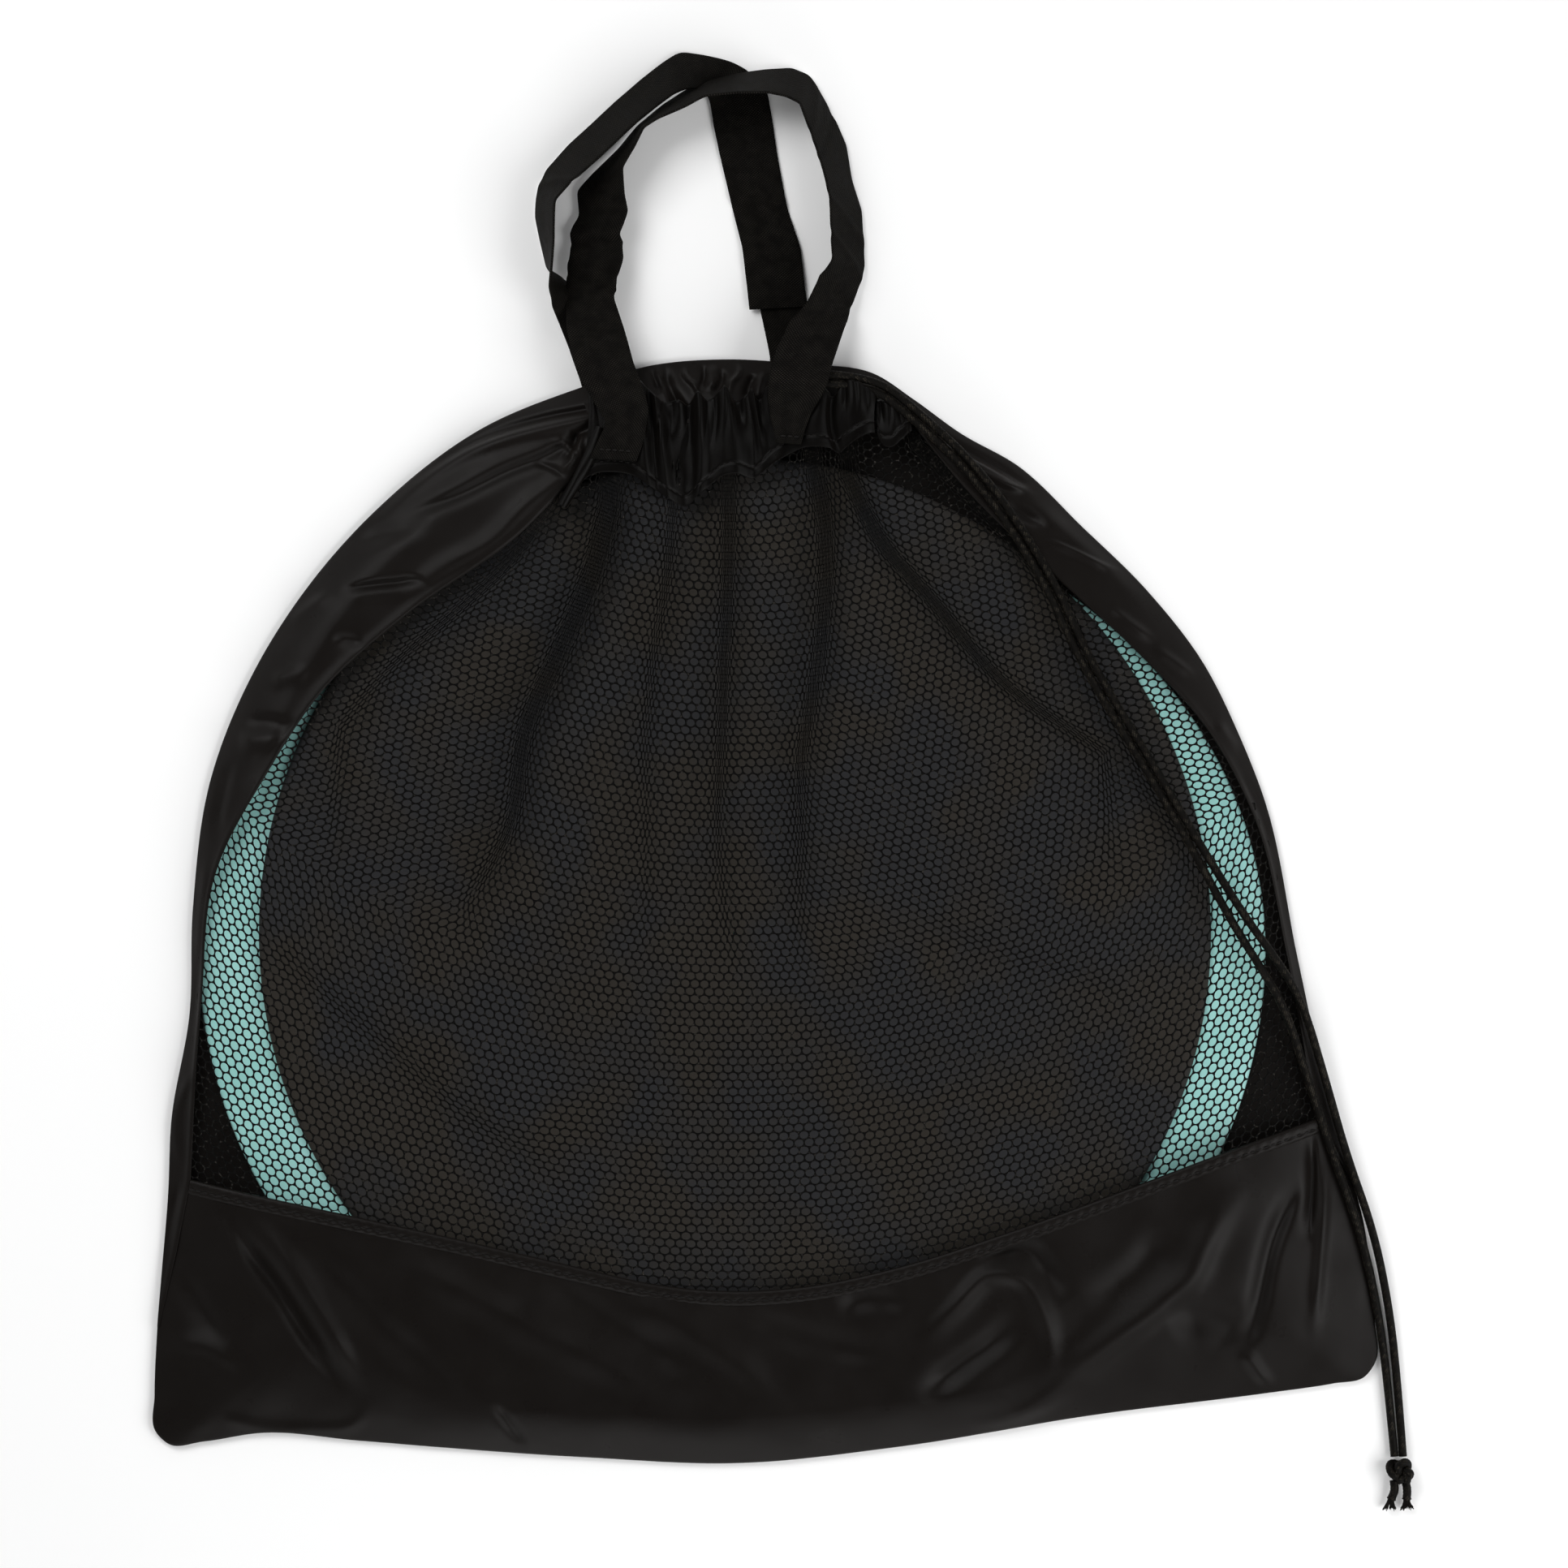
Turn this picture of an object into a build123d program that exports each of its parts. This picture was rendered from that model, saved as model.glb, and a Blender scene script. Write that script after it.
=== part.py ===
"""Drawstring mesh ball bag, lying on its back with a flat round load inside it.

Frame: millimetres, +X to the bag's right, +Y from its base to its handles, +Z up out of the net front.
The origin is under the middle of the bag and handles, on the surface that the bag lies on.
"""

from build123d import *
import math
import os

os.makedirs("parts", exist_ok=True)

# Fabric and webbing
SHEET = 0.8  # a fabric layer with its seam turnings
GAP = 0.3  # clearance between neighbouring pieces
WEBBING_WIDTH = 25.0
WEBBING_THICKNESS = 1.2
TRIM_HEIGHT = 0.5  # a folded hem that stands on a panel
THREAD = 0.5  # width and height of a sewn thread line

# Heights above the surface
RIM_Z = 1.1  # where the front panels meet the back panel
EDGE_Z = 2.6
SHOULDER_Z = 7.5
FRONT_Z = 14.0  # top of the net over the load
CASING_Z = (14.3, 21.0)  # front half of the gathered drawcord casing
BACK_CASING_Z = (1.5, 7.2)
TEAL_Z = (1.1, 3.0)
BLACK_Z = (3.3, 6.3)

# Plan of the bag, drawn about the middle of its load
CENTRE = (-15.0, -80.0)
EDGE_INSET = 0.5
SHOULDER_SHARE = 0.35  # of the way from the outline to the flat front
SIDE_SLOPE = 22.0
FLAT_RADIUS = 232.0  # the flat front never reaches further from the centre
OUTLINE = [
    (-272.6, -258), (-273.6, -284), (-273.2, -300.4), (-267, -306.2), (-252, -305), (-225, -301),
    (-183, -304.5), (-81, -312), (-12.7, -314.6), (56, -307.7), (146.6, -293), (222.6, -283.4),
    (253, -279), (267, -276), (272, -269), (271.6, -252), (269.6, -228), (266, -204.5),
    (257, -175), (247, -135), (237, -88.7), (221.5, -16), (211, 10.5), (194.5, 43.5),
    (170, 75), (140.5, 104), (112, 131), (86.5, 145.5), (65, 161), (48, 172),
    (15, 176.5), (-20, 178.5), (-52.5, 175.6), (-83, 166), (-126, 148.4), (-173.8, 112),
    (-206.3, 75.4), (-229, 39.5), (-248.4, -8.6), (-256.5, -67), (-258, -114), (-266, -161),
    (-267.6, -195), (-270.3, -228),
]
BASE_SEAM = [
    (-257, -188), (-197, -201), (-139, -213.6), (-81.5, -227), (-52.5, -233.5), (-16.3, -237),
    (20, -234.6), (56, -227), (110, -210), (164.7, -190), (208, -173.8), (245, -161),
]
LEFT_SEAM = [
    (-257, -188), (-255, -106.8), (-247, -52.5), (-222.6, -7.2), (-197, 30.8), (-161, 63.4),
    (-110, 99.6), (-88, 122),
]
RIGHT_SEAM = [
    (245, -161), (233.5, -88.7), (219, -27), (201, 12.7), (164.7, 52.5), (128.5, 85),
    (88.7, 121), (64, 150),
]
MOUTH = [(-100, 192), (-90, 150), (-72, 132), (32, 132), (50, 148), (60, 192)]
BACK_MOUTH = [(-100, 192), (-93, 160), (-86, 152), (46, 152), (54, 162), (60, 192)]
BACK_CASING = [(-99, 192), (-89, 151), (-78, 141), (36, 141), (49, 150), (59, 192)]

# Load seen through the net
TEAL_CENTRE = (-15.7, -85.0)
TEAL_RADII = (236.0, 222.0)
BLACK_CENTRE = (-14.3, -77.8)
BLACK_RADIUS = 212.5

# Gathered casing: a scalloped lower edge, then round its right end and top
CASING_SCALLOPS = [
    (-99, 122), (-93, 113.3), (-77.8, 126), (-60, 127.5), (-44.5, 116.2), (-36.2, 111.9), (-28, 119),
    (-15, 126), (-2, 127), (10.9, 133.9), (28, 136), (47.1, 145.2),
]
CASING_REST = [(47.1, 145.2), (43, 156), (40, 163), (40, 174), (-88, 174), (-99, 160), (-99, 122)]

# Handles
HINGE_Y = 174.6
FRONT_TAB_LEFT = [
    (-85.2, 174.4), (-74.4, 153.6), (-71, 149), (-78.5, 133.5), (-58, 132), (-53.6, 145.3),
    (-52.2, 157.8), (-54.6, 162.6), (-58.4, 174.4),
]
FRONT_TAB_RIGHT = [
    (1.5, 174.4), (0.4, 157.8), (3.9, 140.8), (14.7, 139.5), (18.4, 152.2), (24.7, 161.9), (28.4, 174.4),
]
BACK_TAB_LEFT = [(-88.5, 178.3), (-84, 153), (-59.5, 153), (-63.5, 178.3)]
BACK_TAB_RIGHT = [(1, 178.3), (1, 153), (26, 153), (26, 178.3)]
# Stations of a strap on edge or flat: x, y, z of its middle, and its roll about its own line in degrees
FRONT_STRAP = [
    (-72.4, 174.7, 21.6, 0), (-72.4, 176.5, 21.6, 0), (-72.7, 180.5, 20.7, 0), (-76, 191, 17.5, 2),
    (-78.8, 204.9, 13.6, 6), (-78.3, 212.5, 11.8, 0), (-76.3, 221.5, 9.6, -10), (-75.4, 232.6, 8, -22),
    (-73.6, 243, 7.8, -28), (-73.2, 252.7, 8.8, -34), (-69.6, 262.5, 10.8, -52), (-64.4, 268.6, 12.8, -72),
    (-58, 275.6, 13.4, -80), (-50, 281, 13.8, -78), (-40.5, 285.8, 15.8, -71), (-29, 292.4, 16.4, -69),
    (-13.4, 299.6, 15.4, -71), (-2.3, 301, 14.2, -67), (8.7, 299.6, 12.8, -60), (17.2, 294.6, 12.2, -60),
    (22.9, 286, 12, -62), (28.1, 274, 11.9, -60), (32, 257.5, 11.8, -62), (35.1, 242.3, 11.5, -56),
    (36, 231, 11.5, -55), (35.4, 220.8, 11.6, -54), (32.7, 211.8, 12, -42), (29, 202.6, 13.4, -38),
    (23.6, 192.4, 16.6, -15), (17, 184.5, 19.8, -3), (15, 180, 21, 0), (14.9, 176.5, 21.6, 0),
    (14.9, 174.7, 21.6, 0),
]
BACK_STRAP = [
    (-75.8, 178.6, 0.6, 0), (-75.8, 180.2, 0.6, 0), (-76.6, 183.6, 0.8, 2), (-81.5, 191, 2.4, 10),
    (-88.5, 202.5, 8.8, 43), (-95, 214.6, 12.6, 84), (-97.4, 227, 12.6, 100), (-98, 240.9, 12.2, 109),
    (-96.4, 251.7, 12.2, 109), (-89.6, 262.4, 11.6, 117), (-75.8, 276.2, 11, 121), (-61, 290.4, 10.6, 124),
    (-53.5, 297.2, 9, 136), (-46.5, 302.6, 1.9, 176), (-37, 305, 0.7, 180),
]
BACK_STRAP_FLAT = [
    (-36, 314.8), (-16.2, 310.1), (-7.2, 305.6), (0.4, 295.9), (4.6, 268.6), (9, 245), (15, 227),
    (17.3, 201.4), (24, 186), (26.5, 178.6), (1, 178.6), (-2.1, 192.4), (-7.6, 195.9), (-8.3, 204.9),
    (-10.9, 227), (-14.8, 242.3), (-21, 268.6), (-25.6, 292.5), (-37, 293),
]

# Drawcord: two strands out of the casing's right end, over the front, to a knot on the surface
CORD_DIAMETER = 3.5
TUNNEL_START_X = 12.0
TUNNEL_Y = (164.4, 173.7)
TUNNEL_Z = (15.2, 20.0)
STRAND_A = [
    (14, 171, 17.6), (45, 171, 17.4), (66, 155.5, 16.4), (96.6, 126.8, 16.3), (125.5, 83.5, 16.4),
    (142.5, 45, 16.3), (170.5, -1, 16.4), (191, -36, 16.5), (212, -70, 17.4), (226, -88.5, 14.6),
    (238, -107, 10.2), (249, -143, 6.8), (258.5, -177, 6.2), (270.5, -210, 5), (277.5, -243, 3.4),
    (281.5, -276, 2.3), (284, -311.5, 3.2),
]
STRAND_B = [
    (14, 167.1, 17.6), (44, 167.1, 17.4), (63.4, 152.6, 16.4), (93.3, 124.4, 16.3), (122, 81.6, 16.4),
    (139, 43, 16.3), (167.3, -3, 16.4), (187.3, -37, 16.5), (206.5, -73, 17.5), (219.5, -93, 15.9),
    (231, -112, 12.2), (242, -146, 7.8), (253.5, -180, 7.2), (265.4, -213, 6.2), (272.8, -246, 4.2),
    (277.2, -278, 2.5), (280.3, -311.5, 3.2),
]
ARC_SHARE = 0.45  # of the shorter run, where a cord turns
KNOT_CENTRE = (282.4, -318, 5.6)
KNOT_RADII = (5.6, 7.4, 5.4)
TAILS = {"drawcord_tail_a": (285.0, -323), "drawcord_tail_b": (280.0, -323)}
TAIL_ENDS = {"drawcord_tail_a": (286.2, -338), "drawcord_tail_b": (277.2, -337)}
TAIL_END_RADIUS = 2.6

# Sewing
TAB_STITCH = (2.4, 0.6, 0.4)  # length, width and height of one stitch
TAB_STITCH_PITCH = 3.2


def save(shape, name):
    """Write one sub-part under its node's name."""
    export_step(shape, f"parts/{name}.step")


def from_centre(point, length):
    """Move a plan point to the given distance from the bag's centre."""
    dx, dy = point[0] - CENTRE[0], point[1] - CENTRE[1]
    scale = length / math.hypot(dx, dy)
    return (CENTRE[0] + dx * scale, CENTRE[1] + dy * scale)


def level(share, height, inset=0.0):
    """The closed section at a height, at a share of the way from the outline to the flat front."""
    points = []
    for point in OUTLINE:
        full = math.hypot(point[0] - CENTRE[0], point[1] - CENTRE[1])
        flat = min(full - SIDE_SLOPE, FLAT_RADIUS)
        points.append(from_centre(point, full + (flat - full) * share - inset))
    edge = Spline(*[(x, y, height) for x, y in points], periodic=True)
    return make_face(edge)


def dome(inset, drop):
    """The solid under the bag's front surface."""
    sections = [
        level(0, RIM_Z - drop, inset),
        level(0, EDGE_Z - drop, inset + EDGE_INSET),
        level(SHOULDER_SHARE, SHOULDER_Z - drop, inset),
        level(1, FRONT_Z - drop, inset),
    ]
    return loft(sections, ruled=True)


def plate(points, bottom, top):
    """A flat polygon from one height to another."""
    face = make_face(Polyline(*points, close=True))
    return Pos(0, 0, bottom) * extrude(face, top - bottom)


def band(edges, width, bottom=-1.0, top=40.0):
    """An upright wall along plan curves, to cut or pick out a strip."""
    face = trace(edges, line_width=width)
    return Pos(0, 0, bottom) * extrude(face, top - bottom)


def ribbon(stations):
    """Webbing through stations of x, y, z and roll, as one ruled solid."""
    sections = []
    last = len(stations) - 1
    for i, (x, y, z, roll) in enumerate(stations):
        before = stations[max(i - 1, 0)]
        after = stations[min(i + 1, last)]
        along = (Vector(*after[:3]) - Vector(*before[:3])).normalized()
        side = Vector(0, 0, 1).cross(along).normalized()
        up = along.cross(side)
        angle = math.radians(roll)
        across = side * math.cos(angle) + up * math.sin(angle)
        plane = Plane(origin=(x, y, z), x_dir=across, z_dir=along)
        sections.append(plane * Rectangle(WEBBING_WIDTH, WEBBING_THICKNESS))
    return loft(sections, ruled=True)


def cord(points):
    """A round cord of straight runs joined by tangent arcs as large as the runs allow."""
    places = [Vector(*point) for point in points]
    radii = []
    for before, here, after in zip(places, places[1:], places[2:]):
        first, second = here - before, after - here
        turn = math.radians(first.get_angle(second))
        radii.append(ARC_SHARE * min(first.length, second.length) / math.tan(turn / 2))
    path = FilletPolyline(*points, radius=radii)
    tube = sweep(Plane(path ^ 0) * Circle(CORD_DIAMETER / 2), path=path)
    expected = math.pi * CORD_DIAMETER**2 / 4 * path.length
    print("cord length", round(path.length, 1), "volume share", round(tube.volume / expected, 4))
    print("cord radii", [round(radius) for radius in radii])
    return tube


def stitches(corners, height):
    """Short threads at an even pitch round a closed plan polygon."""
    group = []
    size = Box(*TAB_STITCH, align=(Align.CENTER, Align.CENTER, Align.MIN))
    for start, end in zip(corners, corners[1:] + corners[:1]):
        dx, dy = end[0] - start[0], end[1] - start[1]
        run = math.hypot(dx, dy)
        count = max(1, int(run / TAB_STITCH_PITCH))
        for i in range(count):
            share = (i + 0.5) / count
            spot = Pos(start[0] + dx * share, start[1] + dy * share, height)
            group.append(spot * Rot(0, 0, math.degrees(math.atan2(dy, dx))) * size)
    return Compound(children=group)


# Front panels: one thin shell, cut along its seams
outer = dome(0.0, 0.0)
inner = dome(SHEET * 1.1, SHEET) + dome(SHEET * 1.1, SHEET + 0.4)
shell = outer - inner - plate(MOUTH, -1, 40)
base_seam = Spline(*BASE_SEAM)
left_seam = Spline(*LEFT_SEAM)
right_seam = Spline(*RIGHT_SEAM)
seam_ends = [
    Line((-257, -188), (-277, -260)),
    Line((245, -161), (262, -156)),
    Line(LEFT_SEAM[-1], (-78, 138)),
    Line(RIGHT_SEAM[-1], (52, 160)),
]
seams = [base_seam, left_seam, right_seam] + seam_ends
for line in seams:
    shell = shell - band(line, GAP)
PANEL_SPOTS = {
    "mesh_panel": (-15, -80),
    "base_panel": (0, -280),
    "side_panel_left": (-190, 75),
    "side_panel_right": (180, 55),
}
for name, spot in PANEL_SPOTS.items():
    piece = min(
        shell.solids(),
        key=lambda solid: solid.distance_to(Vertex(*spot, FRONT_Z - SHEET / 2)),
    )
    save(piece, name)

outline = make_face(Spline(*[(x, y, 0) for x, y in OUTLINE], periodic=True))
back_panel = extrude(outline, SHEET) - plate(BACK_MOUTH, -1, 5)
save(back_panel, "back_panel")

# Hem along the base panel's upper seam, with its topstitch, both lying on the panel
hem_line = Spline(*[(x, y - 2.2) for x, y in BASE_SEAM])
hem = (Pos(0, 0, TRIM_HEIGHT) * outer - outer) & band(hem_line, 3.6)
save(hem, "base_hem")
thread_line = Spline(*[(x, y - 5.2) for x, y in BASE_SEAM])
thread = (Pos(0, 0, THREAD) * outer - outer) & band(thread_line, THREAD)
save(thread, "base_hem_thread")

# Load
save(Pos(*TEAL_CENTRE, TEAL_Z[0]) * extrude(Ellipse(*TEAL_RADII), TEAL_Z[1] - TEAL_Z[0]), "contents_teal_disc")
save(Pos(*BLACK_CENTRE, BLACK_Z[0]) * extrude(Circle(BLACK_RADIUS), BLACK_Z[1] - BLACK_Z[0]), "contents_black_disc")

# Drawcord casing
casing_face = make_face([Spline(*CASING_SCALLOPS), Polyline(*CASING_REST)])
casing_front = Pos(0, 0, CASING_Z[0]) * extrude(casing_face, CASING_Z[1] - CASING_Z[0])
tunnel = Pos(TUNNEL_START_X, TUNNEL_Y[0], TUNNEL_Z[0]) * Box(
    60, TUNNEL_Y[1] - TUNNEL_Y[0], TUNNEL_Z[1] - TUNNEL_Z[0], align=(Align.MIN, Align.MIN, Align.MIN)
)
casing_front = casing_front - tunnel
save(casing_front, "casing_front")
back_outline = extrude(outline, 30)
casing_back = plate(BACK_CASING, *BACK_CASING_Z) & back_outline
save(casing_back, "casing_back")
casing_line = Spline(*[(x, y + 6) for x, y in CASING_SCALLOPS[1:]])
casing_thread = (Pos(0, 0, THREAD) * casing_front - casing_front) & band(casing_line, THREAD, CASING_Z[1])
for tab in (FRONT_TAB_LEFT, FRONT_TAB_RIGHT):
    casing_thread = casing_thread - plate(tab, 0, 40)
save(casing_thread, "casing_thread")

# Handles: each strap's sewn ends, then its loop
front_top = CASING_Z[1] + WEBBING_THICKNESS
save(plate(FRONT_TAB_LEFT, CASING_Z[1], front_top), "front_handle_tab_left")
save(plate(FRONT_TAB_RIGHT, CASING_Z[1], front_top), "front_handle_tab_right")
save(plate(BACK_TAB_LEFT, 0, WEBBING_THICKNESS), "back_handle_tab_left")
save(plate(BACK_TAB_RIGHT, 0, WEBBING_THICKNESS), "back_handle_tab_right")
front_strap = ribbon(FRONT_STRAP)
save(front_strap, "front_handle")
back_strap = ribbon(BACK_STRAP) + plate(BACK_STRAP_FLAT, 0, WEBBING_THICKNESS)
save(back_strap, "back_handle")
save(stitches([(-75, 136), (-62, 135), (-57, 150), (-68, 150)], front_top), "front_tab_left_stitches")
save(stitches([(5, 143), (13, 142), (19, 157), (4, 157)], front_top), "front_tab_right_stitches")

# Drawcord
save(cord(STRAND_A), "drawcord_strand_a")
save(cord(STRAND_B), "drawcord_strand_b")
knot = Pos(*KNOT_CENTRE) * scale(Sphere(1), by=KNOT_RADII)
save(knot, "drawcord_knot")
for name, start in TAILS.items():
    end = TAIL_ENDS[name]
    first = Vector(start[0], start[1], CORD_DIAMETER / 2 + 1)
    last_point = Vector(end[0], end[1], TAIL_END_RADIUS + 0.1)
    run = last_point - first
    plane = Plane(origin=first, z_dir=run)
    tail = plane * Cone(
        CORD_DIAMETER / 2, TAIL_END_RADIUS, run.length, align=(Align.CENTER, Align.CENTER, Align.MIN)
    )
    save(tail, name)
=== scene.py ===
"""Drawstring mesh ball bag lying flat: satin, hexagonal net, gathered casing, webbing loops and drawcord.

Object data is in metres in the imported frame. Plan lists below are in millimetres and are scaled once.
"""

import bpy
import math
import numpy as np
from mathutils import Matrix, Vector


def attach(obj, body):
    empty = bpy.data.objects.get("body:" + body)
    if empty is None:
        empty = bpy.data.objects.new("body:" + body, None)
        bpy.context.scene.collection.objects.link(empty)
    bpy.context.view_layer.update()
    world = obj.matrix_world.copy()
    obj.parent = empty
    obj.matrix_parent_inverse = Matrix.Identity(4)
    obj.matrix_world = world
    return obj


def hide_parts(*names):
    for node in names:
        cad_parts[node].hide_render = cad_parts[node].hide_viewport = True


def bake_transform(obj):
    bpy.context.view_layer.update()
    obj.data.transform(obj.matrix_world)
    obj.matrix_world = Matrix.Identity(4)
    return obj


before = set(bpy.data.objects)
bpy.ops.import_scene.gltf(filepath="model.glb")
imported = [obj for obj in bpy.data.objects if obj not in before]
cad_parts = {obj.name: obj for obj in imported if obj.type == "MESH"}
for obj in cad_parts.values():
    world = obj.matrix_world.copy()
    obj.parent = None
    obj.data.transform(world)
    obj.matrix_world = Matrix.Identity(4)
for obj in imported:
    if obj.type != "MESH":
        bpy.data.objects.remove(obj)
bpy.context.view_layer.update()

MM = 0.001
CENTRE = (-15.0, -80.0)
EDGE_Z = 2.6
FRONT_Z = 14.0
SIDE_SLOPE = 22.0
FLAT_RADIUS = 232.0
FRONT_ROUNDING = 1.7

# ---------------------------------------------------------------- plan curves, in millimetres
OUTLINE = [
    (-272.6, -258), (-273.6, -284), (-273.2, -300.4), (-267, -306.2), (-252, -305), (-225, -301),
    (-183, -304.5), (-81, -312), (-12.7, -314.6), (56, -307.7), (146.6, -293), (222.6, -283.4),
    (253, -279), (267, -276), (272, -269), (271.6, -252), (269.6, -228), (266, -204.5), (257, -175),
    (247, -135), (237, -88.7), (221.5, -16), (211, 10.5), (194.5, 43.5), (170, 75), (140.5, 104),
    (112, 131), (86.5, 145.5), (65, 161), (48, 172), (15, 176.5), (-20, 178.5), (-52.5, 175.6),
    (-83, 166), (-126, 148.4), (-173.8, 112), (-206.3, 75.4), (-229, 39.5), (-248.4, -8.6),
    (-256.5, -67), (-258, -114), (-266, -161), (-267.6, -195), (-270.3, -228),
]
BASE_SEAM = [
    (-257, -188), (-197, -201), (-139, -213.6), (-81.5, -227), (-52.5, -233.5), (-16.3, -237),
    (20, -234.6), (56, -227), (110, -210), (164.7, -190), (208, -173.8), (245, -161),
]
LEFT_SEAM = [
    (-257, -188), (-252, -106.8), (-246, -52.5), (-222.6, -7.2), (-197, 30.8), (-161, 63.4),
    (-110, 99.6), (-88, 122),
]
RIGHT_SEAM = [
    (245, -161), (232, -88.7), (217.5, -27), (197.5, 11), (162, 50), (126, 83), (88.7, 119.5), (64, 150),
]

# Folds: height, width on the left and right of the line, points, and "open" if the first end does not fade
LEFT_FOLDS = [
    (1.9, 3.5, 2.6, [
        (-75, 152), (-92, 148.7), (-115, 143.4), (-136, 136), (-160, 120), (-176, 103),
    ], "open"),
    (-1.6, 1.8, 1.8, [(-77, 156), (-100, 152), (-128, 143), (-150, 129), (-166, 115)], "open"),
    (-1.8, 3.2, 2.4, [(-75, 150), (-96, 136), (-116, 128), (-138, 117), (-168, 106)], "open"),
    (1.2, 5, 4, [(-78, 143), (-90, 126), (-107, 113), (-124, 96), (-143, 86), (-168, 66)], "open"),
    (0.8, 10, 8, [(-128, 122), (-152, 102), (-178, 82), (-200, 56), (-214, 28)]),
    (-1.6, 1.2, 2.6, [(-190, 75.2), (-178, 77.6), (-166, 79), (-154, 79.4), (-149, 75)]),
    (0.4, 2.2, 3, [(-188, 71), (-172, 73.5), (-158, 74)]),
    (-1.2, 5, 5, [(-186, 98), (-168, 101), (-148, 107)]),
    (0.9, 3, 4, [(-215, 60), (-204, 68), (-192, 74)]),
    (-0.9, 2, 3, [(-194, 53), (-184, 53), (-178, 48)]),
    (0.8, 3, 4, [(-222, 34), (-213, 37), (-202, 39)]),
    (-1, 3, 5, [(-234, 16), (-222, 16.5), (-209, 14.6), (-203, 18)]),
    (1, 4, 5, [(-237, 8), (-224, 9), (-212, 8)]),
    (-1.3, 1, 1.4, [(-88.7, 147), (-85, 143.4), (-87.2, 137), (-92, 132)]),
    (1.3, 1.2, 1.2, [(-81, 146.5), (-83.4, 138.5), (-81, 132)]),
    (1.2, 1.4, 1, [(-97, 141), (-90, 140), (-86, 134), (-93, 127)]),
    (-1.2, 1.2, 1.2, [(-104, 132), (-95, 129), (-88, 124)]),
    (1.1, 2.6, 3.2, [(-253, -138), (-262, -150), (-265, -166), (-261, -184)]),
    (-0.9, 2, 2, [(-262, -188), (-266, -205), (-269, -222)]),
    (0.7, 4, 4, [(-250, -40), (-253, -70), (-257, -100)]),
    (-0.7, 3, 4, [(-238, 2), (-243, -18), (-246, -40)]),
]
RIGHT_FOLDS = [
    (-1.8, 2.4, 1.6, [(62, 154), (80, 142), (98, 132), (120, 119)], "open"),
    (1.8, 1.6, 2.6, [(64, 151), (82, 138.6), (100, 128.6), (122, 115.6)], "open"),
    (1.1, 1.2, 2, [(86, 133), (98, 126.5), (112, 121), (121, 122)]),
    (-1.2, 4, 3, [(96, 121), (110, 112), (124, 102)]),
    (1.2, 6, 5, [(112, 118), (130, 104), (150, 88), (172, 66)]),
    (1, 1, 2, [(122, 99), (136, 93), (150, 86.5), (160, 83)]),
    (-0.9, 3, 2, [(104, 113), (116, 107), (126, 103)]),
    (0.9, 2, 2.6, [(152, 68), (162, 60), (174, 52)]),
    (0.7, 2, 2.6, [(172, 50), (182, 43), (192, 36)]),
    (0.8, 3, 4, [(200, 18), (206, 9), (213, 4)]),
    (-0.8, 3, 4, [(208, -6), (218, -20), (225, -40)]),
    (0.8, 3, 3, [(228, -60), (235, -95), (243, -130), (252, -165)]),
]
BASE_FOLDS = [
    (-2.9, 4.5, 3, [(-240, -200), (-229, -221), (-216, -239), (-206, -255), (-195, -271), (-184, -284)]),
    (1.9, 3.6, 6.5, [(-226, -204), (-209, -228), (-196, -250), (-187, -266), (-177, -283)]),
    (-1.5, 6, 8, [(-211, -206), (-184, -240), (-152, -270), (-122, -294)]),
    (1.7, 6, 9, [(-170, -209), (-142, -233), (-108, -251), (-67, -272), (-40, -290)]),
    (-1.6, 7, 8, [(-104, -226), (-82, -243), (-58, -258), (-30, -278)]),
    (1.4, 7, 7, [(-66, -236), (-34, -254), (-8, -272), (14, -292)]),
    (-1.4, 8, 6, [(-20, -244), (4, -254), (30, -262), (62, -266)]),
    (1.2, 3, 3, [(-247, -291), (-228, -299), (-206, -300), (-184, -297), (-175, -284)]),
    (-1.4, 2, 2.6, [(-122, -286), (-114, -297), (-106, -309)]),
    (0.9, 5, 4, [(-268, -262), (-250, -262), (-232, -274)]),
    (-0.9, 5, 5, [(-262, -226), (-252, -246), (-240, -262)]),
    (-2.2, 5.5, 5, [(92, -224), (104, -219), (116, -219), (126, -230), (134, -242)]),
    (1.8, 4, 4.5, [
        (66, -262), (84, -243), (100, -229), (113, -231), (122, -245), (126, -262), (123, -279),
    ]),
    (-2.1, 5, 5.5, [(66, -285), (86, -270), (104, -256), (112, -244)]),
    (2.1, 5, 8, [
        (216, -184), (203, -203), (195.5, -216), (189, -230), (175, -243), (155, -258),
        (130, -275), (108, -286),
    ]),
    (-1.6, 9, 6, [(176, -206), (170, -220), (158, -232), (140, -240)]),
    (-1.9, 9, 9, [(178, -254), (194, -248), (208, -254), (216, -264)]),
    (-2.3, 3, 4.5, [(238, -186), (225, -216), (219, -243), (213, -268)]),
    (-2, 1.4, 3.2, [(243, -164), (243.6, -187), (241, -218)]),
    (1.2, 2.6, 2.6, [(249, -175), (248, -205), (246, -230), (243, -262)]),
    (1.1, 3, 3, [(212, -262), (218, -272), (226, -282)]),
    (1.4, 4, 6, [(84, -300), (108, -295), (132, -280), (150, -270)]),
    (-1.1, 5, 5, [(30, -244), (46, -240), (64, -244)]),
]
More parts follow.
